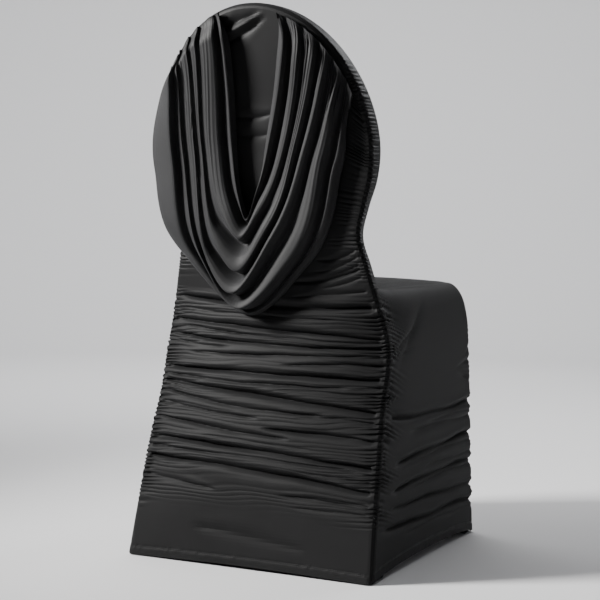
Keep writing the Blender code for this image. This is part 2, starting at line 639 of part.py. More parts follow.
def make_foot_pocket(name, right, front, collection, material):
    """A floor piece in a hem corner, turned up across the corner to hold the foot."""
    turns = np.linspace(0, math.pi / 2, POCKET_COLUMNS + 1)
    lean = (SEAT[0, REAR_HALF] - SEAT[0, FRONT_HALF]) / SEAT[0, FRONT]
    gap = FRONT_POCKET_GAP if front else REAR_POCKET_GAP
    rows = []
    for reach, height in POCKET_STEPS:
        inset_x = CLOTH + gap + reach * np.sin(turns)
        inset_y = CLOTH + gap + reach * np.cos(turns)
        if front:
            y = REAR_HEM + curve(SEAT, FRONT, height) - inset_y
            wall_x = curve(SEAT, FRONT_HALF, height) + lean * inset_y
        else:
            y = REAR_HEM + curve(BACK, EDGE, height) + inset_y
            wall_x = half_width(height) - lean * inset_y
        rows.append(np.stack((wall_x - inset_x, y, np.full_like(inset_x, height)), axis=-1))
    points = np.stack(rows)
    if not right:
        points[:, :, 0] *= -1
    if right == front:
        points = points[:, ::-1]
    return make_sheet(name, (points,), collection, material)


def build():
    """Makes every piece of the cover."""
    for leftover in list(bpy.data.objects):
        bpy.data.objects.remove(leftover)
    collection = bpy.data.collections.new(COLLECTION_NAME)
    bpy.context.scene.collection.children.link(collection)
    make_back_panel(collection, stretch_knit("back_panel", 0.020))
    make_inside_back(collection, stretch_knit("inside_back", 0.020))
    make_seat_skirt(collection, stretch_knit("seat_skirt", 0.020))
    make_swag(collection, stretch_knit("swag", 0.022))
    for side, right in (("left", False), ("right", True)):
        for end, front in (("rear", False), ("front", True)):
            name = f"foot_pocket_{end}_{side}"
            make_foot_pocket(name, right, front, collection, stretch_knit(name, 0.018))


build()
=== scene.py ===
import math

import bmesh
import bpy
import numpy as np
from mathutils import Matrix, Vector


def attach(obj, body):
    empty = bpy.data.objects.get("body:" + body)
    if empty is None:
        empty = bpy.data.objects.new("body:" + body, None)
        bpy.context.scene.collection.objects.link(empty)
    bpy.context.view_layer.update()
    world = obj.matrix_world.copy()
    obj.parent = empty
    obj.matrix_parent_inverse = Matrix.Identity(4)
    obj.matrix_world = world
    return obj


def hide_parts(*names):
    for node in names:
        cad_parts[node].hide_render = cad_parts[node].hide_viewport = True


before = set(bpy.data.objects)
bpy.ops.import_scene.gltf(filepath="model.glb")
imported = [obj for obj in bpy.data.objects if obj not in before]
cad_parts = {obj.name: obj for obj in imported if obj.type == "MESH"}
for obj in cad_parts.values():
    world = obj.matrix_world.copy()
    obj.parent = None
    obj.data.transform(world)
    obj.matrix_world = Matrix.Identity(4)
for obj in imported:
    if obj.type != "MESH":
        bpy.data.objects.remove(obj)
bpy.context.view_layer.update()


# The studio: a pale floor that curves up into a pale wall all round, soft lights, and the
# camera at the photograph's angle. None of it belongs to the cover.
def place_and_aim(thing, place, target, roll=0.0):
    """Puts a light or the camera at a place, turned to its target and then about its own view."""
    turned = (Vector(target) - Vector(place)).to_track_quat("-Z", "Y").to_matrix()
    thing.matrix_world = Matrix.Translation(place) @ (turned @ Matrix.Rotation(roll, 3, "Z")).to_4x4()
    bpy.context.scene.collection.objects.link(thing)


def soft_light(name, place, target, size, power, tint, spread=180):
    """A square soft box of this side in metres, whose light spreads over this many degrees."""
    light = bpy.data.lights.new(name, "AREA")
    light.shape = "SQUARE"
    light.size = size
    light.energy = power
    light.color = tint
    light.spread = math.radians(spread)
    place_and_aim(bpy.data.objects.new(name, light), place, target)


def studio_floor(half_side, flat_radius, steepness, steps):
    """A square grid whose height is steepness times the square of how far it lies past the flat disc."""
    line = np.linspace(-half_side, half_side, steps + 1)
    x, y = np.meshgrid(line, line)
    height = steepness * np.clip(np.hypot(x, y) - flat_radius, 0, None) ** 2
    corners = np.stack((x, y, height), axis=-1).reshape(-1, 3)
    index = np.arange(corners.shape[0]).reshape(steps + 1, steps + 1)
    faces = np.stack((index[:-1, :-1], index[:-1, 1:], index[1:, 1:], index[1:, :-1]), axis=-1)
    mesh = bpy.data.meshes.new("studio_floor")
    mesh.from_pydata(corners.tolist(), [], faces.reshape(-1, 4).tolist())
    mesh.shade_smooth()
    return bpy.data.objects.new("studio_floor", mesh)


floor = studio_floor(half_side=8.0, flat_radius=3.8, steepness=0.55, steps=120)
floor.location.z = -0.0012
bpy.context.scene.collection.objects.link(floor)
floor_paint = bpy.data.materials.new("pale_studio_paint")
floor_paint.use_nodes = True
paint_shader = floor_paint.node_tree.nodes["Principled BSDF"]
paint_shader.inputs["Base Color"].default_value = (0.78, 0.78, 0.79, 1)
paint_shader.inputs["Roughness"].default_value = 0.85
floor.data.materials.append(floor_paint)

world = bpy.data.worlds.new("studio_air")
world.use_nodes = True
world.node_tree.nodes["Background"].inputs["Color"].default_value = (0.93, 0.95, 1.0, 1)
world.node_tree.nodes["Background"].inputs["Strength"].default_value = 0.08
bpy.context.scene.world = world
soft_light("left_box", place=(-1.85, -1.40, 1.70), target=(-0.12, -0.25, 0.95),
           size=0.55, power=44, tint=(1.0, 0.99, 0.97), spread=68)
soft_light("top_right_box", place=(1.3, 0.5, 3.0), target=(0, 0.1, 0.4),
           size=0.8, power=7, tint=(1.0, 1.0, 1.0))
soft_light("front_rim_box", place=(0.9, 2.4, 2.6), target=(0, -0.2, 1.12),
           size=0.8, power=4.2, tint=(0.97, 0.98, 1.0), spread=34)
soft_light("backdrop_box", place=(-1.0, 1.6, 3.1), target=(-1.6, 4.4, 0.3),
           size=2.4, power=170, tint=(1.0, 1.0, 1.0))

camera_data = bpy.data.cameras.new("camera")
camera_data.sensor_width = 36.0
camera_data.lens = 92.88
camera = bpy.data.objects.new("camera", camera_data)
place_and_aim(camera, (1.2304, -2.5064, 0.600), (-0.035, 0.0205, 0.441), roll=math.radians(0.9))
bpy.context.scene.camera = camera


# The outer back: one panel of black stretch knit from the crown down to the rear hem. It is
# gathered on elastic thread along both side seams, so that it lies in long folds across the
# back between the seat and the lower legs, and in short gathers beside the seams.
CLOTH = 0.0016
SEAM_GAP = 0.0003
SEAM_IN = 0.0034
SEAM_TURN = 0.006
EDGE_TURN = 0.0101
TURN_STEP = 0.0008
HALF_GAP = SEAM_GAP / 2 * math.sqrt(0.5)
REAR_HEM = -0.2415
TOTAL_HEIGHT = 0.944
SEAT_HEIGHT = 0.476
CROWN_HALF_WIDTH = 0.200
CROWN_CENTRE = 0.707
CROWN_RISE = TOTAL_HEIGHT - CROWN_CENTRE
CROWN_END = math.radians(60)
CROWN_END_HEIGHT = CROWN_CENTRE + CROWN_RISE * math.cos(CROWN_END)
ARCHED_FROM = 0.562
FLATTEST_ARCH = 0.02
BACK = np.array((
    # height, half_width, middle forward, edge forward, front narrower
    (0.0000, 0.2345, 0.000, 0.000, 0.000),
    (0.1000, 0.2290, 0.014, 0.023, 0.000),
    (0.2000, 0.2235, 0.029, 0.049, 0.000),
    (0.2900, 0.2175, 0.048, 0.078, 0.000),
    (0.3500, 0.2178, 0.060, 0.096, 0.000),
    (0.3950, 0.2120, 0.066, 0.101, 0.006),
    (0.4350, 0.2020, 0.067, 0.094, 0.010),
    (0.4760, 0.1915, 0.066, 0.083, 0.011),
    (0.5150, 0.1820, 0.063, 0.074, 0.012),
    (0.5620, 0.1725, 0.057, 0.062, 0.013),
    (0.6100, 0.1820, 0.052, 0.057, 0.009),
    (0.6550, 0.1945, 0.047, 0.052, 0.003),
    (0.7070, 0.2000, 0.040, 0.046, 0.000),
    (0.7850, 0.1888, 0.024, 0.030, 0.000),
    (0.8500, 0.1593, 0.005, 0.010, 0.000),
    (0.9440, 0.0000, -0.018, -0.018, 0.000),
))
HALF_WIDTH, MIDDLE, EDGE, NARROWER = 1, 2, 3, 4
BACK_FOLDS = np.array((
    # left_x, left_z, middle_z, right_x, right_z, depth, width
    (0.100, 0.522, 0.530, 0.187, 0.552, 0.0036, 0.0030),
    (0.100, 0.503, 0.515, 0.186, 0.541, 0.0026, 0.0026),
    (0.120, 0.497, 0.508, 0.185, 0.527, 0.0026, 0.0026),
    (0.030, 0.482, 0.489, 0.184, 0.514, 0.0044, 0.0030),
    (0.110, 0.475, 0.484, 0.182, 0.499, 0.0024, 0.0026),
    (0.060, 0.459, 0.464, 0.184, 0.472, 0.0036, 0.0030),
    (-0.175, 0.452, 0.440, 0.190, 0.445, 0.0090, 0.0044),
    (-0.165, 0.430, 0.424, 0.120, 0.421, 0.0022, 0.0026),
    (-0.190, 0.412, 0.400, 0.210, 0.391, 0.0086, 0.0036),
    (-0.165, 0.399, 0.387, 0.213, 0.384, 0.0044, 0.0028),
    (-0.190, 0.384, 0.374, 0.213, 0.375, 0.0074, 0.0034),
    (-0.190, 0.374, 0.368, -0.080, 0.366, 0.0028, 0.0026),
    (-0.150, 0.354, 0.357, 0.214, 0.364, 0.0048, 0.0028),
    (0.040, 0.342, 0.346, 0.214, 0.347, 0.0046, 0.0028),
    (-0.200, 0.327, 0.325, 0.214, 0.324, 0.0100, 0.0038),
    (-0.190, 0.313, 0.308, 0.150, 0.309, 0.0048, 0.0028),
    (-0.205, 0.302, 0.288, 0.214, 0.269, 0.0104, 0.0040),
    (0.030, 0.300, 0.299, 0.212, 0.296, 0.0026, 0.0026),
    (-0.190, 0.284, 0.267, 0.110, 0.262, 0.0052, 0.0030),
    (-0.205, 0.266, 0.257, -0.010, 0.250, 0.0040, 0.0030),
    (0.080, 0.256, 0.258, 0.217, 0.253, 0.0034, 0.0028),
    (-0.205, 0.240, 0.228, 0.050, 0.220, 0.0062, 0.0032),
    (0.020, 0.234, 0.231, 0.216, 0.224, 0.0070, 0.0034),
    (-0.100, 0.214, 0.211, 0.100, 0.205, 0.0022, 0.0026),
    (-0.207, 0.206, 0.196, 0.216, 0.181, 0.0104, 0.0040),
    (-0.213, 0.188, 0.185, 0.190, 0.175, 0.0034, 0.0026),
    (-0.213, 0.172, 0.163, 0.216, 0.143, 0.0104, 0.0042),
    (0.090, 0.168, 0.163, 0.218, 0.157, 0.0032, 0.0028),
    (-0.221, 0.140, 0.134, -0.080, 0.127, 0.0036, 0.0034),
    (0.060, 0.126, 0.124, 0.229, 0.120, 0.0042, 0.0032),
    (0.090, 0.109, 0.108, 0.225, 0.106, 0.0026, 0.0028),
    (-0.100, 0.062, 0.053, 0.100, 0.043, 0.0022, 0.0070),
    (-0.060, 0.902, 0.914, 0.010, 0.925, 0.0042, 0.0042),
    (-0.052, 0.893, 0.905, 0.014, 0.919, -0.0048, 0.0060),
    (-0.050, 0.880, 0.893, 0.018, 0.911, 0.0046, 0.0048),
    (-0.045, 0.760, 0.759, 0.020, 0.764, 0.0036, 0.0046),
    (-0.045, 0.730, 0.728, 0.018, 0.731, 0.0030, 0.0050),
))
FOLD_FADE = 0.034
FOLD_TILT = 0.050
FOLDS_END_AT_SEAM = 0.007
OVERHANG = 0.22
UNDERLIP = 0.08
FINE_CREASES_FROM = 0.085
FINE_CREASES_TO = 0.475
FINE_CREASE_PITCH = 0.0074
FINE_CREASE_DEPTH = 0.00025
DEEPER_AT_SEAM = 0.00060
SEAM_GATHERS = (
    # from height, eased over, to height, eased over, depth, pitch
    (0.070, 0.060, 0.478, 0.040, 0.0023, 0.0080),
    (0.478, 0.040, 0.875, 0.050, 0.0015, 0.0068),
)
RIGHT_SEED = 1.3
LEFT_SEED = 4.1
RIGHT_GATHER_RUN = 0.026
LEFT_GATHER_RUN = 0.018
CORNER_GATHER_RUN = 0.014
HEM_STITCHES = 0.0145
HEM_PULL = 0.0008
HEM_PULL_WIDTH = 0.0035
HEM_PUCKER_PITCH = 0.0105
HEM_BAND = 0.0005
HEM_BAND_EDGE = 0.0025
BACK_HEM_LIFT = 0.004
WELD = 0.00003
BACK_COLUMNS = 80
BACK_ROW_RUNS = (
    # from, to, step
    (0.0, 0.020, 0.0022),
    (0.020, 0.084, 0.0055),
    (0.084, 0.460, 0.00125),
    (0.460, 0.560, 0.00160),
    (0.560, CROWN_END_HEIGHT, 0.00170),
)


def table_curve(table, column, at):
    """A smooth curve through one column: cubics between the rows, sloped as the neighbours lie."""
    across, values = table[:, 0], table[:, column]
    slopes = np.gradient(values, across)
    at = np.clip(np.asarray(at, float), across[0], across[-1])
    row = np.clip(np.searchsorted(across, at, side="right") - 1, 0, len(across) - 2)
    span = across[row + 1] - across[row]
    t = (at - across[row]) / span
    start = (2 * t**3 - 3 * t**2 + 1) * values[row] + (t**3 - 2 * t**2 + t) * span * slopes[row]
    end = (3 * t**2 - 2 * t**3) * values[row + 1] + (t**3 - t**2) * span * slopes[row + 1]
    return start + end


def ease(value):
    """Zero to one with level ends: three squares less two cubes."""
    value = np.clip(value, 0.0, 1.0)
    return value * value * (3 - 2 * value)


def half_width(height):
    """Half width of the back: the table up to the oval's widest place, an ellipse above."""
    height = np.asarray(height, float)
    rise = np.clip((height - CROWN_CENTRE) / CROWN_RISE, 0.0, 1.0)
    oval = CROWN_HALF_WIDTH * np.sqrt(1 - rise**2)
    return np.where(height > CROWN_CENTRE, oval, table_curve(BACK, HALF_WIDTH, height))


def back_y(x, height):
    """The back's plain surface: its middle line, bent forward to the edge line by the share of the
    half width, to the power of two and a half."""
    middle = table_curve(BACK, MIDDLE, height)
    edge = table_curve(BACK, EDGE, height)
    part = np.clip(np.abs(x) / np.maximum(half_width(height), 0.06), 0.0, 1.05)
    return REAR_HEM + middle + (edge - middle) * part**2.5


def outline_side(heights):
    """Points (x, z) on the outline's right side at these heights, with its outward directions, which
    are square to the slope of the half width."""
    step = 0.001
    heights = np.asarray(heights, float)
    slope = (half_width(heights + step) - half_width(np.maximum(heights - step, 0.0))) / (2 * step)
    slope = np.where(heights < step, slope * 2, slope)
    length = np.sqrt(1 + slope**2)
    return half_width(heights), heights, 1 / length, -slope / length


def outline_crown(angles):
    """Points (x, z) on the crown's ellipse at these angles from the top, with its outward directions:
    the sine and cosine over the half axes."""
    x = CROWN_HALF_WIDTH * np.sin(angles)
    z = CROWN_CENTRE + CROWN_RISE * np.cos(angles)
    across = np.sin(angles) / CROWN_HALF_WIDTH
    upward = np.cos(angles) / CROWN_RISE
    length = np.hypot(across, upward)
    return x, z, across / length, upward / length


def crowded_line(columns):
    """From minus one to one, closer together towards both ends: 1.35 t less 0.35 t cubed."""
    t = np.linspace(-1, 1, columns + 1)
    return 1.35 * t - 0.35 * t**3


def outline_path(levels, columns):
    """The outline up the left side, over the crown and down the right side: the side's points, mirrored
    for the left, with the crown's arc between them."""
    x, z, out_x, out_z = outline_side(levels)
    crown = outline_crown(crowded_line(columns)[1:-1] * CROWN_END)
    left = (-x, z, -out_x, out_z)
    right = (x[::-1], z[::-1], out_x[::-1], out_z[::-1])
    return [np.concatenate(parts) for parts in zip(left, crown, right)]


def uneven_waves(at, pitch, seed):
    """Gathers along a seam, from about minus one to one: a cosine of uneven pitch and height, less a
    share of the cosine of twice its angle, which narrows the valleys."""
    turns = at / pitch + 0.55 * np.sin(at * 61 + seed) + 0.30 * np.sin(at * 143 + 2 * seed)
    height = 0.75 + 0.25 * np.sin(at * 97 + 3 * seed)
    ridge = np.cos(2 * np.pi * turns)
    return height * (ridge - 0.30 * np.cos(4 * np.pi * turns))


def seam_gathers(level, x):
    """How far the gathers draw the seam in at a height, on the side that x lies on: in each run, minus
    its depth times the uneven waves, eased in and out at its ends."""
    seed = np.where(x > 0, RIGHT_SEED, LEFT_SEED)
    gathers = 0.0
    for low, low_run, high, high_run, depth, pitch in SEAM_GATHERS:
        within = ease((level - low) / low_run) * ease((high - level) / high_run)
        gathers = gathers - within * depth * uneven_waves(level, pitch, seed)
    return gathers


def seam_line(path, inset, forward):
    """Points along a path on the outline, moved this far in and this far forward of the back's face, and
    drawn in by the gathers in the direction that the corner's surface faces there."""
    path_x, path_z, out_x, out_z = path
    face_y = back_y(path_x - EDGE_TURN * out_x, path_z - EDGE_TURN * out_z)
    past_turn = max(forward - EDGE_TURN, 0.0)
    gathers = seam_gathers(path_z, path_x) * math.exp(-(past_turn / CORNER_GATHER_RUN) ** 1.5)
    facing = np.arctan2(forward, np.maximum(inset, 0.0))
    aside = gathers * np.sin(facing)
    return np.stack((
        path_x - (inset + aside) * out_x, face_y + forward + gathers * np.cos(facing),
        path_z - (inset + aside) * out_z), axis=-1)


def oval_patch(levels, columns, inset):
    """Points (x, z) of a panel inside the outline: level rows below that arch up to the crown's arc."""
    u = crowded_line(columns)
    x, z, out_x, out_z = outline_side(levels)
    edge_x, edge_z = x - inset * out_x, z - inset * out_z
    share = np.clip((levels - ARCHED_FROM) / (levels[-1] - ARCHED_FROM), 0.0, 1.0)
    middle_z = levels + share * (TOTAL_HEIGHT - inset - levels[-1])
    angle = np.maximum(share * CROWN_END, FLATTEST_ARCH)[:, None]
    grid_x = edge_x[:, None] * np.sin(angle * u) / np.sin(angle)
    arch = (np.cos(angle * u) - np.cos(angle)) / (1 - np.cos(angle))
    grid_z = edge_z[:, None] + (middle_z - edge_z)[:, None] * arch
    crown_x, crown_z, crown_out_x, crown_out_z = outline_crown(u * CROWN_END)
    grid_x[-1] = crown_x - inset * crown_out_x
    grid_z[-1] = crown_z - inset * crown_out_z
    return grid_x, grid_z


def gather_reach(at, seed):
    """How far each gather runs in from the seam, as a multiple of the usual length: one, with a long
    and a short sine of the height added."""
    return 1 + 0.45 * np.sin(at * 83 + seed) + 0.25 * np.sin(at * 191 + 2 * seed)


def crease(offset, width):
    """A fold's section: a sharp valley with wide soft shoulders, under a rounded ridge and over a low
    lip. Each is a bell of the offset over the width."""
    s = offset / width
    valley = 0.80 * np.exp(-np.abs(s) ** 1.5) + 0.25 * np.exp(-np.abs(s) / 3.0)
    ridge = OVERHANG * np.exp(-(((s - 2.5) / 1.7) ** 2))
    lip = UNDERLIP * np.exp(-(((s + 3.0) / 2.2) ** 2))
    return valley - ridge - lip


def fine_creases(x, z, side):
    """The small creases between the long folds: waves up the back that wander to the sides, and are
    deeper towards the seams by the square of the share of the half width."""
    within = ease((z - FINE_CREASES_FROM) / 0.05) * ease((FINE_CREASES_TO - z) / 0.04)
    wandering = z + 0.004 * np.sin(x * 13 + z * 31) + 0.0016 * np.sin(x * 41 + z * 90)
    depth = FINE_CREASE_DEPTH + DEEPER_AT_SEAM * side**2
    return depth * within * uneven_waves(wandering, FINE_CREASE_PITCH, 0.9)


def back_drawn_in(x, z, level):
    """How far the back panel is drawn in: its long folds, which follow parabolas through three points,
    the small creases between them, and the gathers that fade in from its seams."""
    from_seam = np.maximum(half_width(level) - np.abs(x) - EDGE_TURN, 0.0)
    drawn_in = np.zeros_like(x)
    for number, (left_x, left_z, middle_z, right_x, right_z, depth, width) in enumerate(BACK_FOLDS):
        t = (x - left_x) / (right_x - left_x)
        line = left_z * (1 - t) * (1 - 2 * t) + 4 * middle_z * t * (1 - t) + right_z * t * (2 * t - 1)
        line = line + 0.0006 * np.sin(x * 37 + number * 2.1) + 0.0003 * np.sin(x * 91 + number)
        within = ease((x - left_x) / FOLD_FADE + 0.5) * ease((right_x - x) / FOLD_FADE + 0.5)
        uneven = 0.90 + 0.16 * np.sin(x * 23 + number * 1.7)
        taper = 0.72 + 0.45 * np.sin(np.pi * np.clip(t, 0, 1)) ** 2
        drawn_in += depth * uneven * within * crease(z - line, width * taper)
    drawn_in -= fine_creases(x, z, np.abs(x) / half_width(level))
    seed = np.where(x > 0, RIGHT_SEED, LEFT_SEED)
    reach = np.where(x > 0, RIGHT_GATHER_RUN, LEFT_GATHER_RUN) * gather_reach(level, seed)
    gathers = seam_gathers(level, x) * np.exp(-((from_seam / reach) ** 1.5))
    return drawn_in * ease(from_seam / FOLDS_END_AT_SEAM) + gathers


def hem_pull(along, above):
    """How far the cloth is drawn in at a hem: uneven puckers in a bell about its stitching, less the
    doubled band below, which stands out."""
    from_stitches = (above - HEM_STITCHES) / HEM_PULL_WIDTH
    puckers = 0.35 + 0.65 * uneven_waves(along, HEM_PUCKER_PITCH, 3.1)
    band = HEM_BAND * ease((HEM_STITCHES - above) / HEM_BAND_EDGE)
    return HEM_PULL * puckers * np.exp(-(from_stitches**2)) - band


def through_rows(rows, steps):
    """Smooth lines through matching points of several rows: cubics sloped as the neighbouring rows lie."""
    rows = np.stack(rows)
    slopes = np.gradient(rows, axis=0)
    at = np.linspace(0, len(rows) - 1, (len(rows) - 1) * steps + 1)
    row = np.clip(at.astype(int), 0, len(rows) - 2)
    t = (at - row).reshape((-1,) + (1,) * (rows.ndim - 1))
    start = (2 * t**3 - 3 * t**2 + 1) * rows[row] + (t**3 - 2 * t**2 + t) * slopes[row]
    return start + (3 * t**2 - 2 * t**3) * rows[row + 1] + (t**3 - t**2) * slopes[row + 1]


def cloth_piece(name, grids, material):
    """One sheet from grids of points[row, column] that share edges, thickened inwards. Its uv, in metres,
    adds up the mean lengths of the steps between the rows and between the columns."""
    corners, faces, places, start = [], [], [], 0
    for points in grids:
        rows, columns = points.shape[:2]
        index = start + np.arange(rows * columns).reshape(rows, columns)
        start += rows * columns
        corners.append(points.reshape(-1, 3))
        quads = np.stack((index[:-1, :-1], index[:-1, 1:], index[1:, 1:], index[1:, :-1]), axis=-1)
        faces.append(quads.reshape(-1, 4))
        row_steps = np.linalg.norm(np.diff(points, axis=0), axis=-1).mean(axis=1)
        column_steps = np.linalg.norm(np.diff(points, axis=1), axis=-1).mean(axis=0)
        v = np.concatenate(((0,), np.cumsum(row_steps)))
        u = np.concatenate(((0,), np.cumsum(column_steps)))
        places.append(np.stack(np.broadcast_arrays(u[None, :], v[:, None]), axis=-1).reshape(-1, 2))
    corners, faces, places = (np.concatenate(part) for part in (corners, faces, places))
    mesh = bpy.data.meshes.new(name)
    mesh.from_pydata(corners.tolist(), [], faces.tolist())
    layer = mesh.uv_layers.new(name="cloth")
    layer.data.foreach_set("uv", places[faces.ravel()].astype(np.float32).ravel())
    bm = bmesh.new()
    bm.from_mesh(mesh)
    bmesh.ops.remove_doubles(bm, verts=bm.verts, dist=WELD)
    for line in bm.edges:
        line.smooth = not line.is_boundary
    bm.to_mesh(mesh)
    bm.free()
    piece = bpy.data.objects.new(name, mesh)
    piece.data.materials.append(material)
    bpy.context.scene.collection.objects.link(piece)
    wall = piece.modifiers.new("cloth", "SOLIDIFY")
    wall.thickness = CLOTH
    wall.offset = -1.0
    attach(piece, "root")
    return piece


WAVE_AT_SCALE_ONE = 0.314
KNIT_COLUMN = 0.0011
KNIT_ROW = 0.0008


def stretch_knit(name, shade, roughness, sheen):
    """Black polyester and elastane jersey: the product of fine knit columns and rows and a little fuzz
    raise it, and a soft noise makes its tone and its roughness uneven."""
    material = bpy.data.materials.new(name)
    material.use_nodes = True
    nodes, links = material.node_tree.nodes, material.node_tree.links
    shader = nodes["Principled BSDF"]
    shader.inputs["Metallic"].default_value = 0.0
    shader.inputs["Specular IOR Level"].default_value = 0.12
    shader.inputs["Sheen Weight"].default_value = sheen
    shader.inputs["Sheen Roughness"].default_value = 0.50
    shader.inputs["Sheen Tint"].default_value = (0.80, 0.82, 0.86, 1)

    cloth_uv = nodes.new("ShaderNodeUVMap")
    cloth_uv.uv_map = "cloth"
    columns = nodes.new("ShaderNodeTexWave")
    columns.wave_type, columns.bands_direction, columns.wave_profile = "BANDS", "X", "SIN"
    columns.inputs["Scale"].default_value = WAVE_AT_SCALE_ONE / KNIT_COLUMN
    columns.inputs["Distortion"].default_value = 0.6
    courses = nodes.new("ShaderNodeTexWave")
    courses.wave_type, courses.bands_direction, courses.wave_profile = "BANDS", "Y", "SIN"
    courses.inputs["Scale"].default_value = WAVE_AT_SCALE_ONE / KNIT_ROW
    fuzz = nodes.new("ShaderNodeTexNoise")
    fuzz.inputs["Scale"].default_value = 1500
    fuzz.inputs["Detail"].default_value = 3
    for texture in (columns, courses, fuzz):
        links.new(cloth_uv.outputs["UV"], texture.inputs["Vector"])
    loops = nodes.new("ShaderNodeMath")
    loops.operation = "MULTIPLY"
    links.new(columns.outputs["Fac"], loops.inputs[0])
    links.new(courses.outputs["Fac"], loops.inputs[1])
    surface = nodes.new("ShaderNodeMath")
    surface.operation = "MULTIPLY_ADD"
    surface.inputs[1].default_value = 0.5
    links.new(fuzz.outputs["Fac"], surface.inputs[0])
    links.new(loops.outputs["Value"], surface.inputs[2])
    bump = nodes.new("ShaderNodeBump")
    bump.inputs["Strength"].default_value = 0.35
    bump.inputs["Distance"].default_value = 0.00018
    links.new(surface.outputs["Value"], bump.inputs["Height"])
    links.new(bump.outputs["Normal"], shader.inputs["Normal"])

    place = nodes.new("ShaderNodeTexCoord")
    tone = nodes.new("ShaderNodeTexNoise")
    tone.inputs["Scale"].default_value = 9
    tone.inputs["Detail"].default_value = 5
    tone.inputs["Roughness"].default_value = 0.6
    links.new(place.outputs["Object"], tone.inputs["Vector"])
    dye = nodes.new("ShaderNodeValToRGB")
    dye.color_ramp.elements[0].position = 0.30
    dye.color_ramp.elements[0].color = (shade * 0.80, shade * 0.80, shade * 0.83, 1)
    dye.color_ramp.elements[1].position = 0.72
    dye.color_ramp.elements[1].color = (shade * 1.18, shade * 1.18, shade * 1.24, 1)
    links.new(tone.outputs["Fac"], dye.inputs["Fac"])
    links.new(dye.outputs["Color"], shader.inputs["Base Color"])
    worn = nodes.new("ShaderNodeMapRange")
    worn.inputs["To Min"].default_value = roughness - 0.05
    worn.inputs["To Max"].default_value = roughness + 0.05
    links.new(tone.outputs["Fac"], worn.inputs["Value"])
    links.new(worn.outputs["Result"], shader.inputs["Roughness"])
    return material


runs = [np.arange(low, high, step) for low, high, step in BACK_ROW_RUNS]
back_levels = np.concatenate(runs + [(CROWN_END_HEIGHT,)])
x, z = oval_patch(back_levels, BACK_COLUMNS, EDGE_TURN)
level = np.repeat(back_levels[:, None], BACK_COLUMNS + 1, axis=1)
side = x / half_width(level)
z = z - ease((level - 0.03) / 0.10) * ease((0.52 - level) / 0.08) * FOLD_TILT * x * (1 - side**2)
hem_lift = BACK_HEM_LIFT * (1 - side**2) * ease(1 - level / 0.05)
drawn_in = back_drawn_in(x, z, level) + hem_pull(x, level)
patch = np.stack((x, back_y(x, z) + drawn_in, z + hem_lift), axis=-1)
path = outline_path(back_levels, BACK_COLUMNS)
edge = np.concatenate((patch[:, 0], patch[-1, 1:-1], patch[::-1, -1]))
turned = seam_line(path, SEAM_TURN, TURN_STEP)
sewn = seam_line(path, SEAM_IN + HALF_GAP, SEAM_IN - HALF_GAP)
# Painted shade: this is the same black knit as the swag's, but its shade is set at about half the swag's so
# that the back reads as lying in dimmer light.
back_jersey = stretch_knit("back_jersey", shade=0.0075, roughness=0.60, sheen=0.012)
back_panel = cloth_piece("outer_back", (patch, np.stack((edge, turned, sewn))), back_jersey)
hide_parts("back_panel")


def stitched(name, lines, outward, pitch, length):
    """Small raised stitches, spaced at this pitch along the lines of points: each is a slim rod with
    four sides, two rings and two tips, which dip into the cloth."""
    middles, ways, outs = [], [], []
    for line, out in zip(lines, outward):
        run = np.concatenate(((0,), np.cumsum(np.linalg.norm(np.diff(line, axis=0), axis=-1))))
        at = np.arange(pitch, run[-1] - pitch, pitch)
        ends = [np.stack([np.interp(at + way, run, line[:, axis]) for axis in range(3)], axis=-1)
                for way in (-length / 2, length / 2)]
        middles.append((ends[0] + ends[1]) / 2)
        ways.append((ends[1] - ends[0]) / 2)
        outs.append(np.stack([np.interp(at, run, out[:, axis]) for axis in range(3)], axis=-1))
    middles, ways, outs = (np.concatenate(part) for part in (middles, ways, outs))
    outs /= np.linalg.norm(outs, axis=-1, keepdims=True)
    aside = np.cross(outs, ways)
    aside *= STITCH_RADIUS / np.linalg.norm(aside, axis=-1, keepdims=True)
    rise = outs * STITCH_RADIUS
    corners = [middles - ways - rise * 1.5]
    for share in (-0.62, 0.62):
        centre = middles + ways * share
        corners += [centre + aside, centre + rise, centre - aside, centre - rise]
    corners.append(middles + ways - rise * 1.5)
    corners = np.stack(corners, axis=1).reshape(-1, 3)
    around = [(1, 2, 6, 5), (2, 3, 7, 6), (3, 4, 8, 7), (4, 1, 5, 8)]
    tips = [(0, 2, 1), (0, 3, 2), (0, 4, 3), (0, 1, 4), (9, 5, 6), (9, 6, 7), (9, 7, 8), (9, 8, 5)]
    faces = [
        tuple(start + corner for corner in face)
        for start in range(0, len(corners), STITCH_CORNERS) for face in around + tips]
    mesh = bpy.data.meshes.new(name)
    mesh.from_pydata(corners.tolist(), [], faces)
    mesh.shade_smooth()
    mesh.materials.append(thread)
    piece = bpy.data.objects.new(name, mesh)
    bpy.context.scene.collection.objects.link(piece)
    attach(piece, "root")
    return piece


STITCH_RADIUS = 0.00032
STITCH_CORNERS = 10
thread = bpy.data.materials.new("black_thread")
thread.use_nodes = True
thread_shader = thread.node_tree.nodes["Principled BSDF"]
thread_shader.inputs["Base Color"].default_value = (0.014, 0.014, 0.015, 1)
thread_shader.inputs["Roughness"].default_value = 0.42
thread_shader.inputs["Sheen Weight"].default_value = 0.10
HEM_ROWS_STEP = BACK_ROW_RUNS[0][2]
STITCH_PITCH = 0.0034
STITCH_LENGTH = 0.0024
HALF_TWIN = 0.0012


def twin_hem_lines(grid, row_step, way):
    """The two lines of stitches above a hem, between the rows of a grid that are this far apart, and the
    cross product of each line's run and the way up, turned outwards."""
    lines, outward = [], []
    for height in (HEM_STITCHES - HALF_TWIN, HEM_STITCHES + HALF_TWIN):
        row = int(height / row_step)
        up = grid[row + 1] - grid[row]
        line = grid[row] + up * (height / row_step - row)
        lines.append(line)
        outward.append(way * np.cross(np.gradient(line, axis=0), up))
    return lines, outward


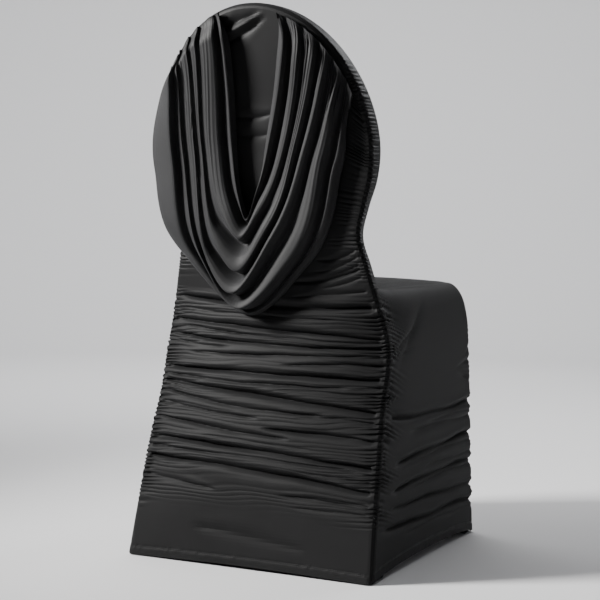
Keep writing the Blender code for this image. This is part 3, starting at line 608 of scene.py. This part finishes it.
lines, outward = twin_hem_lines(patch, HEM_ROWS_STEP, 1)
back_stitches = stitched("back_hem_stitching", lines, outward, STITCH_PITCH, STITCH_LENGTH)


# The inside of the back: the smooth front face of the backrest and the strip that wraps its
# edge, in one piece of the same knit. Its bottom edge is sewn to the seat, and the strip is
# finely gathered beside the seam to the outer back.
BACKREST_DEPTH = 0.047
FACE_CORNER = 0.012
PADDING = 0.010
EDGE_STRIP = (
    # step_in, forward
    (0.0060, BACKREST_DEPTH - 0.0016),
    (0.0, BACKREST_DEPTH - FACE_CORNER),
    (-0.0006, 0.022),
    (0.0, EDGE_TURN),
    (TURN_STEP, SEAM_TURN),
    (SEAM_IN - HALF_GAP, SEAM_IN + HALF_GAP),
)
SHIRRING_DEPTH = 0.0008
SHIRRING_PITCH = 0.0058
SEAT_PULL = 0.0016
INSIDE_COLUMNS = 56
inside_levels = np.concatenate((np.arange(SEAT_HEIGHT, CROWN_END_HEIGHT, 0.0016), (CROWN_END_HEIGHT,)))
x, z = oval_patch(inside_levels, INSIDE_COLUMNS, FACE_CORNER)
part = np.clip(np.abs(x) / np.maximum(half_width(z), 0.06), 0, 1)
padding = PADDING * (1 - part**2) * ease((z - SEAT_HEIGHT) / 0.10)
pulled = SEAT_PULL * np.exp(-(((z - 0.505) / 0.022) ** 2)) * np.sin(x * 52 + 0.8)
y = back_y(x, z) + BACKREST_DEPTH + padding + pulled * ease((z - SEAT_HEIGHT) / 0.02)
x = x * (1 - table_curve(BACK, NARROWER, z) / half_width(z))
standing = SEAT_HEIGHT + 2 * SEAM_GAP
patch = np.stack((-x, y, np.maximum(z, standing)), axis=-1)
path = outline_path(inside_levels, INSIDE_COLUMNS)
lean = table_curve(BACK, NARROWER, path[1]) / BACKREST_DEPTH
strip = [np.concatenate((patch[:, 0], patch[-1, 1:-1], patch[::-1, -1]))]
for step_in, forward in EDGE_STRIP:
    row = seam_line(path, step_in + lean * max(forward - SEAM_TURN, 0.0), forward)
    row[:, 0] *= -1
    strip.append(row)
strip = through_rows(strip, 4)
along = np.concatenate(((0,), np.cumsum(np.linalg.norm(np.diff(strip[-1], axis=0), axis=-1))))
from_back_seam = np.linspace(1, 0, len(strip))[:, None]
fading = np.exp(-((from_back_seam / 0.40) ** 2)) * ease(from_back_seam / 0.2)
shirring = SHIRRING_DEPTH * uneven_waves(along, SHIRRING_PITCH, 2.2) * fading
upright = ease((0.90 - path[1]) / 0.10)
strip[..., 0] -= shirring * upright * path[2]
strip[..., 2] = np.maximum(strip[..., 2] + shirring * upright * path[3], standing)
# Painted shade: the same darkened shade as the outer back's, about half the swag's, so that the backrest's
# face reads as lying in dimmer light.
front_jersey = stretch_knit("front_jersey", shade=0.0075, roughness=0.60, sheen=0.012)
inside_back = cloth_piece("inside_back_face", (patch, strip), front_jersey)
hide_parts("inside_back")


# The seat and skirt: one piece of knit over the seat cushion and down its two sides and its
# front, sewn to itself at the two front corners and to the outer back at the rear corners.
# Its rear edge is tucked under the backrest, and both kinds of seam gather it sideways.
SEAT = np.array((
    # height, rear_half, front_half, front, corner radius
    (0.000, 0.2345, 0.224, 0.502, 0.014),
    (0.200, 0.2240, 0.219, 0.498, 0.018),
    (0.360, 0.2180, 0.215, 0.495, 0.026),
    (0.400, 0.2155, 0.2145, 0.494, 0.032),
    (0.440, 0.2110, 0.211, 0.490, 0.042),
    (0.476, 0.2050, 0.206, 0.485, 0.050),
))
REAR_HALF, FRONT_HALF, FRONT, CORNER = 1, 2, 3, 4
SEAT_TURN_IN = 0.024
SEAT_TURN_DROP = 0.046
SEAT_TURN_TOP = 0.474
SEAT_TURN_POWER = 2.2
SEAM_STEPS = (
    # step_in, forward
    (SEAM_IN - HALF_GAP, SEAM_IN + HALF_GAP),
    (TURN_STEP, SEAM_TURN),
    (0.0, EDGE_TURN),
)
SIDE_CREASES = np.array((
    # start, start_z, middle_z, end_z, depth, width: along the side from its rear seam
    (0.010, 0.262, 0.250, 0.251, 0.0080, 0.0044),
    (0.180, 0.240, 0.238, 0.236, 0.0022, 0.0032),
    (0.110, 0.228, 0.228, 0.225, 0.0044, 0.0038),
    (0.060, 0.178, 0.184, 0.191, 0.0096, 0.0044),
    (0.090, 0.170, 0.176, 0.180, 0.0034, 0.0032),
    (0.200, 0.160, 0.158, 0.156, 0.0024, 0.0032),
    (0.050, 0.132, 0.136, 0.140, 0.0086, 0.0044),
    (0.100, 0.120, 0.127, 0.131, 0.0038, 0.0034),
    (0.040, 0.104, 0.096, 0.091, 0.0070, 0.0042),
    (0.020, 0.080, 0.058, 0.062, 0.0086, 0.0044),
    (0.120, 0.048, 0.044, 0.046, 0.0024, 0.0036),
))
SIDE_DIMPLES = np.array((
    # distance from the rear seam, height, length, width, turn in degrees, depth
    (0.105, 0.405, 0.060, 0.0090, 40, 0.0026),
    (0.060, 0.384, 0.050, 0.0044, 24, 0.0034),
    (0.050, 0.362, 0.036, 0.0036, 12, 0.0028),
    (0.395, 0.362, 0.028, 0.0036, 30, 0.0032),
    (0.375, 0.328, 0.034, 0.0036, 6, 0.0034),
    (0.370, 0.300, 0.030, 0.0034, -14, 0.0026),
))
SIDE_FOLD_RUN = 0.40
SIDE_FOLD_FADE = 0.06
FRONT_FOLD_SHARE = 0.35
SIDE_HEM_LIFT = 0.0165
FRONT_HEM_LIFT = 0.009
HEM_FADE = 0.20
SMALLEST_CORNER = 0.006
PINCH_RUN = 0.055
ROLL_RUN = 0.07
FRONT_BULGE = 0.004
SEAT_CROWN = 0.012
SEAT_REAR_PULL = 0.0012
SEAT_TUCK = 0.0035
SIDE_SHARES = np.concatenate((
    np.linspace(0.02, 0.22, 16), np.linspace(0.24, 0.88, 26), np.linspace(0.90, 1.0, 6)))
CORNER_TURNS = np.radians(np.array((6, 14, 22, 29, 35, 40, 43, 45, 47, 50, 55, 61, 68, 76, 84, 90)))
CORNER_MIDDLE = 7
FRONT_SHARES = np.linspace(1, 0, 21)[1:]
SIDE_GATHER_RUN = 0.026
SIDE_GATHER_SLANT = 0.35
CORNER_GATHER_DEPTH = 0.0010
CORNER_GATHER_PITCH = 0.0088
CORNER_GATHER_SPREAD = 0.016
CORNER_SEAM_TOP = 0.45
CORNER_SEAM_DEPTH = 0.0016
CORNER_SEAM_WIDTH = 0.0026
CORNER_TWIN = 0.0030
CORNER_STITCHES = (0.018, 0.44)


def seam_to_middle(heights, insets):
    """Points[row, column] of the skirt's right half, from the rear seam along the side and round the
    front corner to the middle of the front. The corner is an arc, and the front bulges by a parabola."""
    rear_y = back_y(half_width(heights), heights)
    corner = table_curve(SEAT, CORNER, heights)
    front_half = table_curve(SEAT, FRONT_HALF, heights)
    rear_half = table_curve(SEAT, REAR_HALF, heights)
    front_y = REAR_HEM + table_curve(SEAT, FRONT, heights)
    columns = [seam_line(outline_side(heights), step_in, forward) for step_in, forward in SEAM_STEPS]
    for share in SIDE_SHARES:
        distance = share * (front_y - corner - rear_y)
        x = rear_half + (front_half - rear_half) * distance / (front_y - rear_y)
        x = x + (half_width(heights) - rear_half) * np.exp(-((distance / PINCH_RUN) ** 2))
        x = x - insets * ease(distance / ROLL_RUN)
        columns.append(np.stack((x, rear_y + distance, heights), axis=-1))
    radius = np.maximum(corner - insets, SMALLEST_CORNER)
    centre_x, centre_y = front_half - corner, front_y - corner
    for turn in CORNER_TURNS:
        x, y = centre_x + radius * np.cos(turn), centre_y + radius * np.sin(turn)
        columns.append(np.stack((x, y, heights), axis=-1))
    for share in FRONT_SHARES:
        y = centre_y + radius + FRONT_BULGE * (1 - share**2)
        columns.append(np.stack((centre_x * share, y, heights), axis=-1))
    return np.stack(columns, axis=1)


def whole_skirt(heights, insets):
    """The right half and its mirror image: columns run from the rear left corner round the front."""
    right = seam_to_middle(heights, insets)
    left = right * (-1, 1, 1)
    return np.concatenate((left, right[:, -2::-1]), axis=1)


def skirt_drawn_in(points, columns_to_corner):
    """How far the skirt is drawn in: its long folds, which follow parabolas through three points, its
    dimples, and the gathers at its rear and front seams."""
    z = points[..., 2]
    distance = points[..., 1] - points[:, :1, 1]
    right = points[..., 0] > 0
    seed = np.where(right, 0.7, 2.9)
    drawn_in = np.zeros(z.shape)
    for number, (start, start_z, middle_z, end_z, depth, width) in enumerate(SIDE_CREASES):
        t = np.clip(distance / SIDE_FOLD_RUN, 0.0, 1.0)
        line = start_z * (1 - t) * (1 - 2 * t) + 4 * middle_z * t * (1 - t) + end_z * t * (2 * t - 1)
        line = line + 0.0014 * np.sin(distance * 33 + number * 2.3 + seed)
        uneven = 0.88 + 0.18 * np.sin(distance * 19 + number * 1.9 + seed)
        drawn_in += depth * uneven * ease((distance - start) / SIDE_FOLD_FADE) * crease(z - line, width)
    for away, height, length, width, turn, depth in SIDE_DIMPLES:
        cosine, sine = math.cos(math.radians(turn)), math.sin(math.radians(turn))
        along = (distance - away) * cosine + (z - height) * sine
        across = (z - height) * cosine - (distance - away) * sine + 0.9 * along**2
        drawn_in += depth * np.exp(-((along / length) ** 2)) * crease(across, width)
    front = np.zeros(z.shape[1], bool)
    front[columns_to_corner + 1:-columns_to_corner - 1] = True
    drawn_in[:, front] *= FRONT_FOLD_SHARE
    reach = gather_reach(z, seed)
    from_turn = np.maximum(distance - EDGE_TURN, 0.0)
    slanted = z + SIDE_GATHER_SLANT * from_turn
    seam_fade = np.exp(-((from_turn / (SIDE_GATHER_RUN * reach)) ** 1.4))
    seam_pull = seam_gathers(slanted, points[..., 0]) * seam_fade
    corner_line = points[:, columns_to_corner:columns_to_corner + 1]
    aside = np.abs(points[..., 0]) - np.abs(corner_line[..., 0])
    from_corner = np.hypot(aside, points[..., 1] - corner_line[..., 1])
    corner_fade = np.exp(-((from_corner / (CORNER_GATHER_SPREAD * reach)) ** 1.5))
    corner_gathers = uneven_waves(z, CORNER_GATHER_PITCH, seed + 2) * corner_fade
    drawn_in -= CORNER_GATHER_DEPTH * ease((z - 0.03) / 0.03) * ease((0.41 - z) / 0.04) * corner_gathers
    drawn_in = drawn_in * ease(from_turn / 0.010) + seam_pull
    drawn_in[:, :len(SEAM_STEPS)] = 0.0
    drawn_in[:, -len(SEAM_STEPS):] = 0.0
    drawn_in += hem_pull(1.3 * points[..., 0] + points[..., 1], z)
    corner_groove = np.exp(-((from_corner / CORNER_SEAM_WIDTH) ** 2))
    drawn_in += CORNER_SEAM_DEPTH * ease((CORNER_SEAM_TOP - z) / 0.02) * corner_groove
    return drawn_in


def blended_patch(rear, front, left, right):
    """A surface between four edges: the sum of the two ruled surfaces, less the one through the corners."""
    u = np.linspace(0, 1, rear.shape[0])[None, :, None]
    v = np.linspace(0, 1, left.shape[0])[:, None, None]
    ruled = (1 - v) * rear + v * front + (1 - u) * left[:, None] + u * right[:, None]
    rear_corners = (1 - u) * (1 - v) * rear[0] + u * (1 - v) * rear[-1]
    return ruled - (rear_corners + (1 - u) * v * front[0] + u * v * front[-1])


turned = np.linspace(0, np.pi / 2, 20)
turn_heights = SEAT_TURN_TOP - SEAT_TURN_DROP * (1 - np.cos(turned) ** (2 / SEAT_TURN_POWER))
turn_insets = SEAT_TURN_IN * (1 - np.sin(turned) ** (2 / SEAT_TURN_POWER))
plain_heights = np.arange(turn_heights[-1] - 0.0024, 0.285, -0.0024)
creased_heights = np.arange(plain_heights[-1] - 0.0015, 0.020, -0.0015)
hem_heights = np.linspace(creased_heights[-1] - 0.0020, 0, 9)
skirt_heights = np.concatenate((turn_heights, plain_heights, creased_heights, hem_heights))
skirt_insets = np.concatenate((turn_insets, np.zeros(len(skirt_heights) - len(turn_heights))))
skirt = whole_skirt(skirt_heights, skirt_insets)
level_row = whole_skirt(np.array((SEAT_HEIGHT,)), np.zeros(1))[0]
skirt[0, :2], skirt[0, -2:] = level_row[:2], level_row[-2:]
skirt[0, 2, 2] = skirt[0, -3, 2] = SEAT_HEIGHT
corner_column = len(SEAM_STEPS) + len(SIDE_SHARES) + CORNER_MIDDLE
drawn_in = skirt_drawn_in(skirt, corner_column)
turn_out = np.zeros(skirt.shape[1])
turn_out[len(SEAM_STEPS) + len(SIDE_SHARES):][:len(CORNER_TURNS)] = CORNER_TURNS
turn_out[len(SEAM_STEPS) + len(SIDE_SHARES) + len(CORNER_TURNS):] = np.pi / 2
turn_out = np.minimum(turn_out, turn_out[::-1])
skirt[..., 0] -= np.sign(skirt[..., 0]) * np.cos(turn_out) * drawn_in
skirt[..., 1] -= np.sin(turn_out) * drawn_in
along_skirt = np.concatenate(((0,), np.cumsum(np.linalg.norm(np.diff(skirt[-1], axis=0), axis=-1))))
left_end, right_end = along_skirt[corner_column], along_skirt[-1 - corner_column]
side_lift = np.sqrt(np.sin(np.pi * np.clip(along_skirt / left_end, 0, 1)))
front_lift = np.sin(np.pi * np.clip((along_skirt - left_end) / (right_end - left_end), 0, 1))
far_lift = np.sqrt(np.sin(np.pi * np.clip((along_skirt - right_end) / (along_skirt[-1] - right_end), 0, 1)))
lift = SIDE_HEM_LIFT * (side_lift + far_lift) + FRONT_HEM_LIFT * front_lift
skirt[..., 2] += lift * ease(1 - skirt[..., 2] / HEM_FADE)

ends = skirt[0]
left_edge, right_edge = ends[:corner_column + 1], ends[::-1][:corner_column + 1]
front_edge = ends[corner_column:len(ends) - corner_column]
centre_x = half_width(SEAT_HEIGHT) - table_curve(BACK, NARROWER, SEAT_HEIGHT) - FACE_CORNER
round_corner = 0.7 * (FACE_CORNER - SEAT_TUCK)
corner_y = back_y(centre_x, SEAT_HEIGHT) + BACKREST_DEPTH - FACE_CORNER + round_corner
notch = 7
notch_share = np.linspace(0, 1, notch + 1)[:, None]
seam_point = ends[-1]
corner_point = np.array((centre_x + round_corner, corner_y, SEAT_HEIGHT))
notch_side = seam_point + (corner_point - seam_point) * notch_share
across_x = np.linspace(-centre_x, centre_x, len(front_edge) - 2 * (notch + 1))
across_y = back_y(across_x, SEAT_HEIGHT) + BACKREST_DEPTH - SEAT_TUCK
across = np.stack((across_x, across_y, np.full_like(across_x, SEAT_HEIGHT)), axis=-1)
rear_edge = np.concatenate((notch_side * (-1, 1, 1), across, notch_side[::-1]))
seat_top = blended_patch(rear_edge, front_edge, left_edge, right_edge)
u = np.linspace(-1, 1, seat_top.shape[1])[None, :]
v = np.linspace(0, 1, seat_top.shape[0])[:, None]
ledge = ease((seat_top[..., 1] - corner_y) / 0.05)
seat_top[..., 2] += SEAT_CROWN * np.sin(np.pi * v) ** 1.4 * (1 - u**4) ** 1.5 * ledge
pull = SEAT_REAR_PULL * np.sin(u * 21 + v * 5) * np.exp(-((v / 0.16) ** 2)) * (1 - u**2) * ledge
seat_top[..., 2] += pull
# Painted shade: the seat's knit is set darker still than the back's, under half the swag's, so that the
# seat reads as less lit.
seat_jersey = stretch_knit("seat_jersey", shade=0.0065, roughness=0.62, sheen=0.010)
seat_skirt = cloth_piece("seat_and_skirt", (seat_top, skirt), seat_jersey)
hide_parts("seat_skirt")

rising = skirt[::-1]
hem_step = hem_heights[0] / (len(hem_heights) - 1)
lines, outward = twin_hem_lines(rising, hem_step, -1)
hem_stitches = stitched("skirt_hem_stitching", lines, outward, STITCH_PITCH, STITCH_LENGTH)
lines, outward = [], []
stitched_rows = slice(*np.searchsorted(rising[:, 0, 2], CORNER_STITCHES))
for column in (corner_column, skirt.shape[1] - 1 - corner_column):
    seam = rising[stitched_rows, column]
    along = rising[stitched_rows, column + 1] - rising[stitched_rows, column - 1]
    along /= np.linalg.norm(along, axis=-1, keepdims=True)
    out = np.cross(np.gradient(seam, axis=0), along)
    out /= np.linalg.norm(out, axis=-1, keepdims=True)
    for aside in (-CORNER_TWIN, CORNER_TWIN):
        lines.append(seam + along * aside + out * CORNER_SEAM_DEPTH * 0.4)
        outward.append(out)
corner_stitches = stitched("corner_seam_stitching", lines, outward, STITCH_PITCH, STITCH_LENGTH)


# The swag: a wide cowl of softer knit on the outer back. Its top and bottom edges are free,
# and both its ends are pleated into the shoulder seams, so that it falls in nested U folds.
SWAG_FOLDS = np.array((
    # left_angle, right_angle, left_top x z, left_side_x, left_low x z, bottom x z, right_low x z,
    # right_side_x, right_top x z, side_z, stand_off on the arms and at the bottom, left_run, right_run
    (16, 17, -0.043, 0.875, -0.047, -0.037, 0.628, -0.021, 0.587, -0.003, 0.632,
     0.021, 0.064, 0.870, 0.712, 0.020, 0.028, 0.10, 0.14),
    (22, 27, -0.072, 0.868, -0.085, -0.066, 0.602, -0.031, 0.556, 0.004, 0.601,
     0.053, 0.091, 0.860, 0.712, 0.024, 0.038, 0.09, 0.14),
    (30, 37, -0.096, 0.860, -0.104, -0.082, 0.552, -0.034, 0.502, 0.021, 0.575,
     0.073, 0.116, 0.845, 0.710, 0.025, 0.043, 0.08, 0.15),
    (37, 46, -0.113, 0.848, -0.118, -0.096, 0.512, -0.042, 0.464, 0.026, 0.552,
     0.092, 0.132, 0.822, 0.705, 0.026, 0.043, 0.08, 0.16),
    (45, 56, -0.137, 0.825, -0.140, -0.112, 0.520, -0.038, 0.436, 0.056, 0.520,
     0.118, 0.148, 0.790, 0.690, 0.026, 0.036, 0.09, 0.18),
    (53, 67, -0.190, 0.788, -0.2095, -0.162, 0.527, -0.033, 0.427, 0.080, 0.513,
     0.150, 0.162, 0.748, 0.672, 0.012, 0.012, 0.10, 0.22),
))
ARM, LIP, LEFT_RUN, RIGHT_RUN = 15, 16, 17, 18
FOLD_STATIONS = np.array((0.0, 0.11, 0.28, 0.42, 0.50, 0.58, 0.74, 0.89, 1.0))
SWAG_VALLEYS = np.array((
    # left_place, left_drop, left_roll, left_rise_at, low_place, low_stand_off,
    # right_place, right_drop, right_roll
    (0.46, 0.014, 0.000, 0.22, 0.20, 0.016, 0.42, 0.016, 0.000),
    (0.84, 0.0032, 0.000, 0.60, 0.20, 0.014, 0.42, 0.014, 0.000),
    (0.84, 0.0030, 0.000, 0.60, 0.20, 0.014, 0.42, 0.014, 0.000),
    (0.84, 0.0040, 0.002, 0.60, 0.22, 0.014, 0.42, 0.017, 0.000),
    (0.20, 0.006, 0.021, 0.14, 0.30, 0.008, 0.46, 0.012, 0.009),
))
LOW_SECTION = (0.50, 0.62, 0.50, 0.75)
LEFT_SECTION = (0.48, 0.62, 0.00, 0.86)
RIGHT_SECTION = (0.55, 0.70, 0.45, 0.78)
SEWN_STAND_OFF = 0.0028
SEWN_PLEAT = 0.005
SEWN_INSETS = np.array((0.0062, 0.0108))
LIP_RUN = 0.11
EDGE_RETURN = 0.007
EDGE_RETURN_DROP = 0.012
HEM_RETURN = 0.0035
SMALL_PLEATS = np.array((
    # row down the swag from 0 at its top edge to 1 at its hem, from station, to station, depth, width
    (0.335, 0.58, 1.00, -0.0060, 0.016),
    (0.690, 0.60, 1.00, -0.0062, 0.016),
    (0.825, 0.62, 0.98, -0.0030, 0.010),
    (0.090, 0.84, 1.00, 0.0026, 0.007),
    (0.180, 0.86, 1.00, 0.0024, 0.007),
    (0.262, 0.82, 1.00, 0.0028, 0.007),
    (0.372, 0.80, 1.00, 0.0026, 0.007),
    (0.440, 0.86, 1.00, 0.0026, 0.006),
    (0.475, 0.80, 1.00, 0.0028, 0.007),
    (0.548, 0.84, 1.00, 0.0026, 0.006),
    (0.625, 0.82, 1.00, 0.0030, 0.007),
    (0.735, 0.78, 1.00, 0.0030, 0.007),
    (0.795, 0.84, 1.00, 0.0024, 0.006),
    (0.900, 0.72, 0.98, 0.0034, 0.012),
    (0.300, 0.00, 0.20, 0.0018, 0.008),
    (0.365, 0.00, 0.30, 0.0014, 0.007),
    (0.470, 0.00, 0.34, 0.0020, 0.008),
    (0.525, 0.00, 0.22, 0.0016, 0.007),
    (0.560, 0.00, 0.26, 0.0016, 0.007),
    (0.640, 0.00, 0.20, 0.0018, 0.008),
    (0.710, 0.00, 0.18, 0.0016, 0.008),
    (0.965, 0.32, 0.56, 0.0012, 0.012),
))
STREAK_DEPTH = 0.00045
LESS_ON_LIPS = 0.75
SEWN_RUN = 0.016
SWAG_COLUMNS = 170
ROWS_PER_LINE = 8


def fold_line(row, stations):
    """Points (x, z) along one fold of the swag, from the left seam to the right seam: smooth curves
    through nine places, of which the first and the last lie on the oval, at an angle from its top."""
    left_x, right_x = (CROWN_HALF_WIDTH - SEWN_INSETS) * np.sin(np.radians(row[:2]))
    left_z, right_z = CROWN_CENTRE + (CROWN_RISE - SEWN_INSETS) * np.cos(np.radians(row[:2]))
    (left_top_x, left_top_z, left_side_x, left_low_x, left_low_z, bottom_x, bottom_z, right_low_x,
     right_low_z, right_side_x, right_top_x, right_top_z, side_z) = row[2:15]
    places = np.array((
        (-left_x, left_z), (left_top_x, left_top_z), (left_side_x, side_z), (left_low_x, left_low_z),
        (bottom_x, bottom_z),
        (right_low_x, right_low_z), (right_side_x, side_z), (right_top_x, right_top_z), (right_x, right_z),
    ))
    table = np.column_stack((FOLD_STATIONS, places))
    return table_curve(table, 1, stations), table_curve(table, 2, stations)


def swag_lines(stations):
    """The swag's main lines (x, z, stand-off) from the top down: each fold's crest, and the valley below
    it with a line on each of its sides. Bells about the middle tell the low folds from the arms."""
    low = np.exp(-(((stations - 0.5) / LIP_RUN) ** 2))
    left = np.where(stations < 0.5, 1 - low, 0.0)
    right = np.where(stations < 0.5, 0.0, 1 - low)
    lines = [fold_line(row, stations) for row in SWAG_FOLDS]
    free = [ease(stations / row[LEFT_RUN]) * ease((1 - stations) / row[RIGHT_RUN]) for row in SWAG_FOLDS]
    least = SEWN_STAND_OFF + SEWN_PLEAT
    crests = [
        least + sewn * (row[ARM] - least + low * (row[LIP] - row[ARM]))
        for row, sewn in zip(SWAG_FOLDS, free)]
    inward = np.where(stations < 0.5, 1.0, -1.0) * (1 - np.exp(-(((stations - 0.5) / (2 * LIP_RUN)) ** 2)))
    x, z = lines[0]
    sewn = free[0]
    top_return = np.maximum(crests[0] - sewn * EDGE_RETURN_DROP, SEWN_STAND_OFF)
    edge_return = EDGE_RETURN * (1 + ease((stations - 0.52) / 0.14))
    rows = [(x + sewn * edge_return * inward, z + sewn * low * EDGE_RETURN, top_return)]
    fall_at, fall, rise_at, rise = (
        low * at_low + left * at_left + right * at_right
        for at_low, at_left, at_right in zip(LOW_SECTION, LEFT_SECTION, RIGHT_SECTION))
    for index, valley_row in enumerate(SWAG_VALLEYS):
        (left_place, left_drop, left_roll, left_rise_at, low_place, low_stand_off,
         right_place, right_drop, right_roll) = valley_row
        (x0, z0), (x1, z1) = lines[index], lines[index + 1]
        sewn = free[index + 1]
        place = low * low_place + left * left_place + right * right_place
        roll = sewn * (left * left_roll + right * right_roll)
        top, bottom = crests[index], crests[index + 1]
        drop = SEWN_PLEAT + sewn * (left * left_drop + right * right_drop - (left + right) * SEWN_PLEAT)
        arm_valley = np.minimum(top, bottom + roll) - drop
        valley = arm_valley + low * (np.minimum(low_stand_off, bottom - 0.004) - arm_valley)
        valley = np.maximum(valley, SEWN_STAND_OFF + 0.001 * sewn)
        rising_at = place + (rise_at + left * left_rise_at) * (1 - place)
        between = (
            (np.zeros_like(low), top),
            (fall_at * place, valley + fall * (top - valley)),
            (place, valley),
            (rising_at, valley + rise * (bottom - valley) + roll),
        )
        for share, stand_off in between:
            rows.append((x0 + (x1 - x0) * share, z0 + (z1 - z0) * share, stand_off))
    x, z = lines[-1]
    sewn = free[-1]
    rows.append((x, z, crests[-1]))
    turned_in = np.maximum(crests[-1] - sewn * EDGE_RETURN_DROP, SEWN_STAND_OFF + 0.001 * sewn)
    rows.append((x + sewn * HEM_RETURN * inward, z - sewn * low * HEM_RETURN, turned_in))
    return [np.stack(line, axis=-1) for line in rows]


def streaks(down, stations):
    """Fine streaks along the folds: a sine of uneven pitch and height down the swag, weaker at its lips."""
    waves = np.sin(down * 290 + 3 * np.sin(down * 37) + 0.7 * np.sin(stations * 11))
    uneven = 0.6 + 0.4 * np.sin(down * 51 + stations * 9)
    arms = 1 - LESS_ON_LIPS * np.exp(-(((stations - 0.5) / 0.16) ** 2))
    return STREAK_DEPTH * waves * uneven * arms


def swag_surface(stations, steps):
    """Smooth rows through the main lines, with small pleats raised or sunk along them, and fine streaks."""
    surface = through_rows(swag_lines(stations), steps)
    down = np.linspace(0, 1, len(surface))[:, None]
    free = ease(np.minimum(stations, 1 - stations) / SEWN_RUN)[None, :]
    for place, start, end, depth, width in SMALL_PLEATS:
        middle = place + 0.008 * np.sin(stations * 17 + place * 40)[None, :]
        within = ease((stations - start) / 0.06) * ease((end - stations) / 0.06)
        surface[..., 2] -= depth * within * free * crease(middle - down, width)
    surface[..., 2] += streaks(down, stations[None, :]) * free
    x, z, stand_off = np.moveaxis(surface, -1, 0)
    stand_off = np.maximum(stand_off, SEWN_STAND_OFF - 0.0004)
    return np.stack((x, back_y(x, z) - stand_off, z), axis=-1)[::-1]


# The swag's shade is about twice the back's: the back, face and seat knits are darkened from it as painted
# shade.
swag_jersey = stretch_knit("swag_jersey", shade=0.0145, roughness=0.58, sheen=0.045)
folds = swag_surface(np.linspace(0, 1, SWAG_COLUMNS + 1), ROWS_PER_LINE)
swag = cloth_piece("cowl_swag", (folds,), swag_jersey)
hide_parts("swag")


# The foot pockets: small doubled corners of knit inside the hem, sewn along both walls, that
# the chair's feet stand in and that hold the cover down.
POCKETS = (
    # name, right, front, gap to the walls
    ("foot_pocket_rear_left", False, False, 0.0007),
    ("foot_pocket_rear_right", True, False, 0.0007),
    ("foot_pocket_front_left", False, True, 0.0004),
    ("foot_pocket_front_right", True, True, 0.0004),
)
POCKET_STEPS = (
    # reach from the corner, height
    (0.020, 0.0025),
    (0.036, 0.0025),
    (0.046, 0.0025),
    (0.052, 0.0095),
    (0.052, 0.0240),
    (0.052, 0.0380),
)
CAD_CLOTH = 0.002


def pocket_surface(right, front, gap):
    """Quarter arcs about the hem's corner, each at its reach and height: a floor with a turned-up rim."""
    turns = np.linspace(0, math.pi / 2, 19)
    lean = (SEAT[0, REAR_HALF] - SEAT[0, FRONT_HALF]) / SEAT[0, FRONT]
    rows = []
    for reach, height in POCKET_STEPS:
        inset_x = CAD_CLOTH + gap + reach * np.sin(turns)
        inset_y = CAD_CLOTH + gap + reach * np.cos(turns)
        if front:
            y = REAR_HEM + table_curve(SEAT, FRONT, height) - inset_y
            wall_x = table_curve(SEAT, FRONT_HALF, height) + lean * inset_y
        else:
            y = REAR_HEM + table_curve(BACK, EDGE, height) + inset_y
            wall_x = half_width(height) - lean * inset_y
        rows.append(np.stack((wall_x - inset_x, y, np.full_like(inset_x, height)), axis=-1))
    points = through_rows(rows, 4)
    if not right:
        points = points * (-1, 1, 1)
    return points[:, ::-1] if right == front else points


pocket_jersey = stretch_knit("pocket_jersey", shade=0.011, roughness=0.66, sheen=0.03)
for name, right, front, gap in POCKETS:
    surface = pocket_surface(right, front, gap)
    pocket = cloth_piece(name.replace("foot_pocket", "pocket"), (surface,), pocket_jersey)
    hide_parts(name)
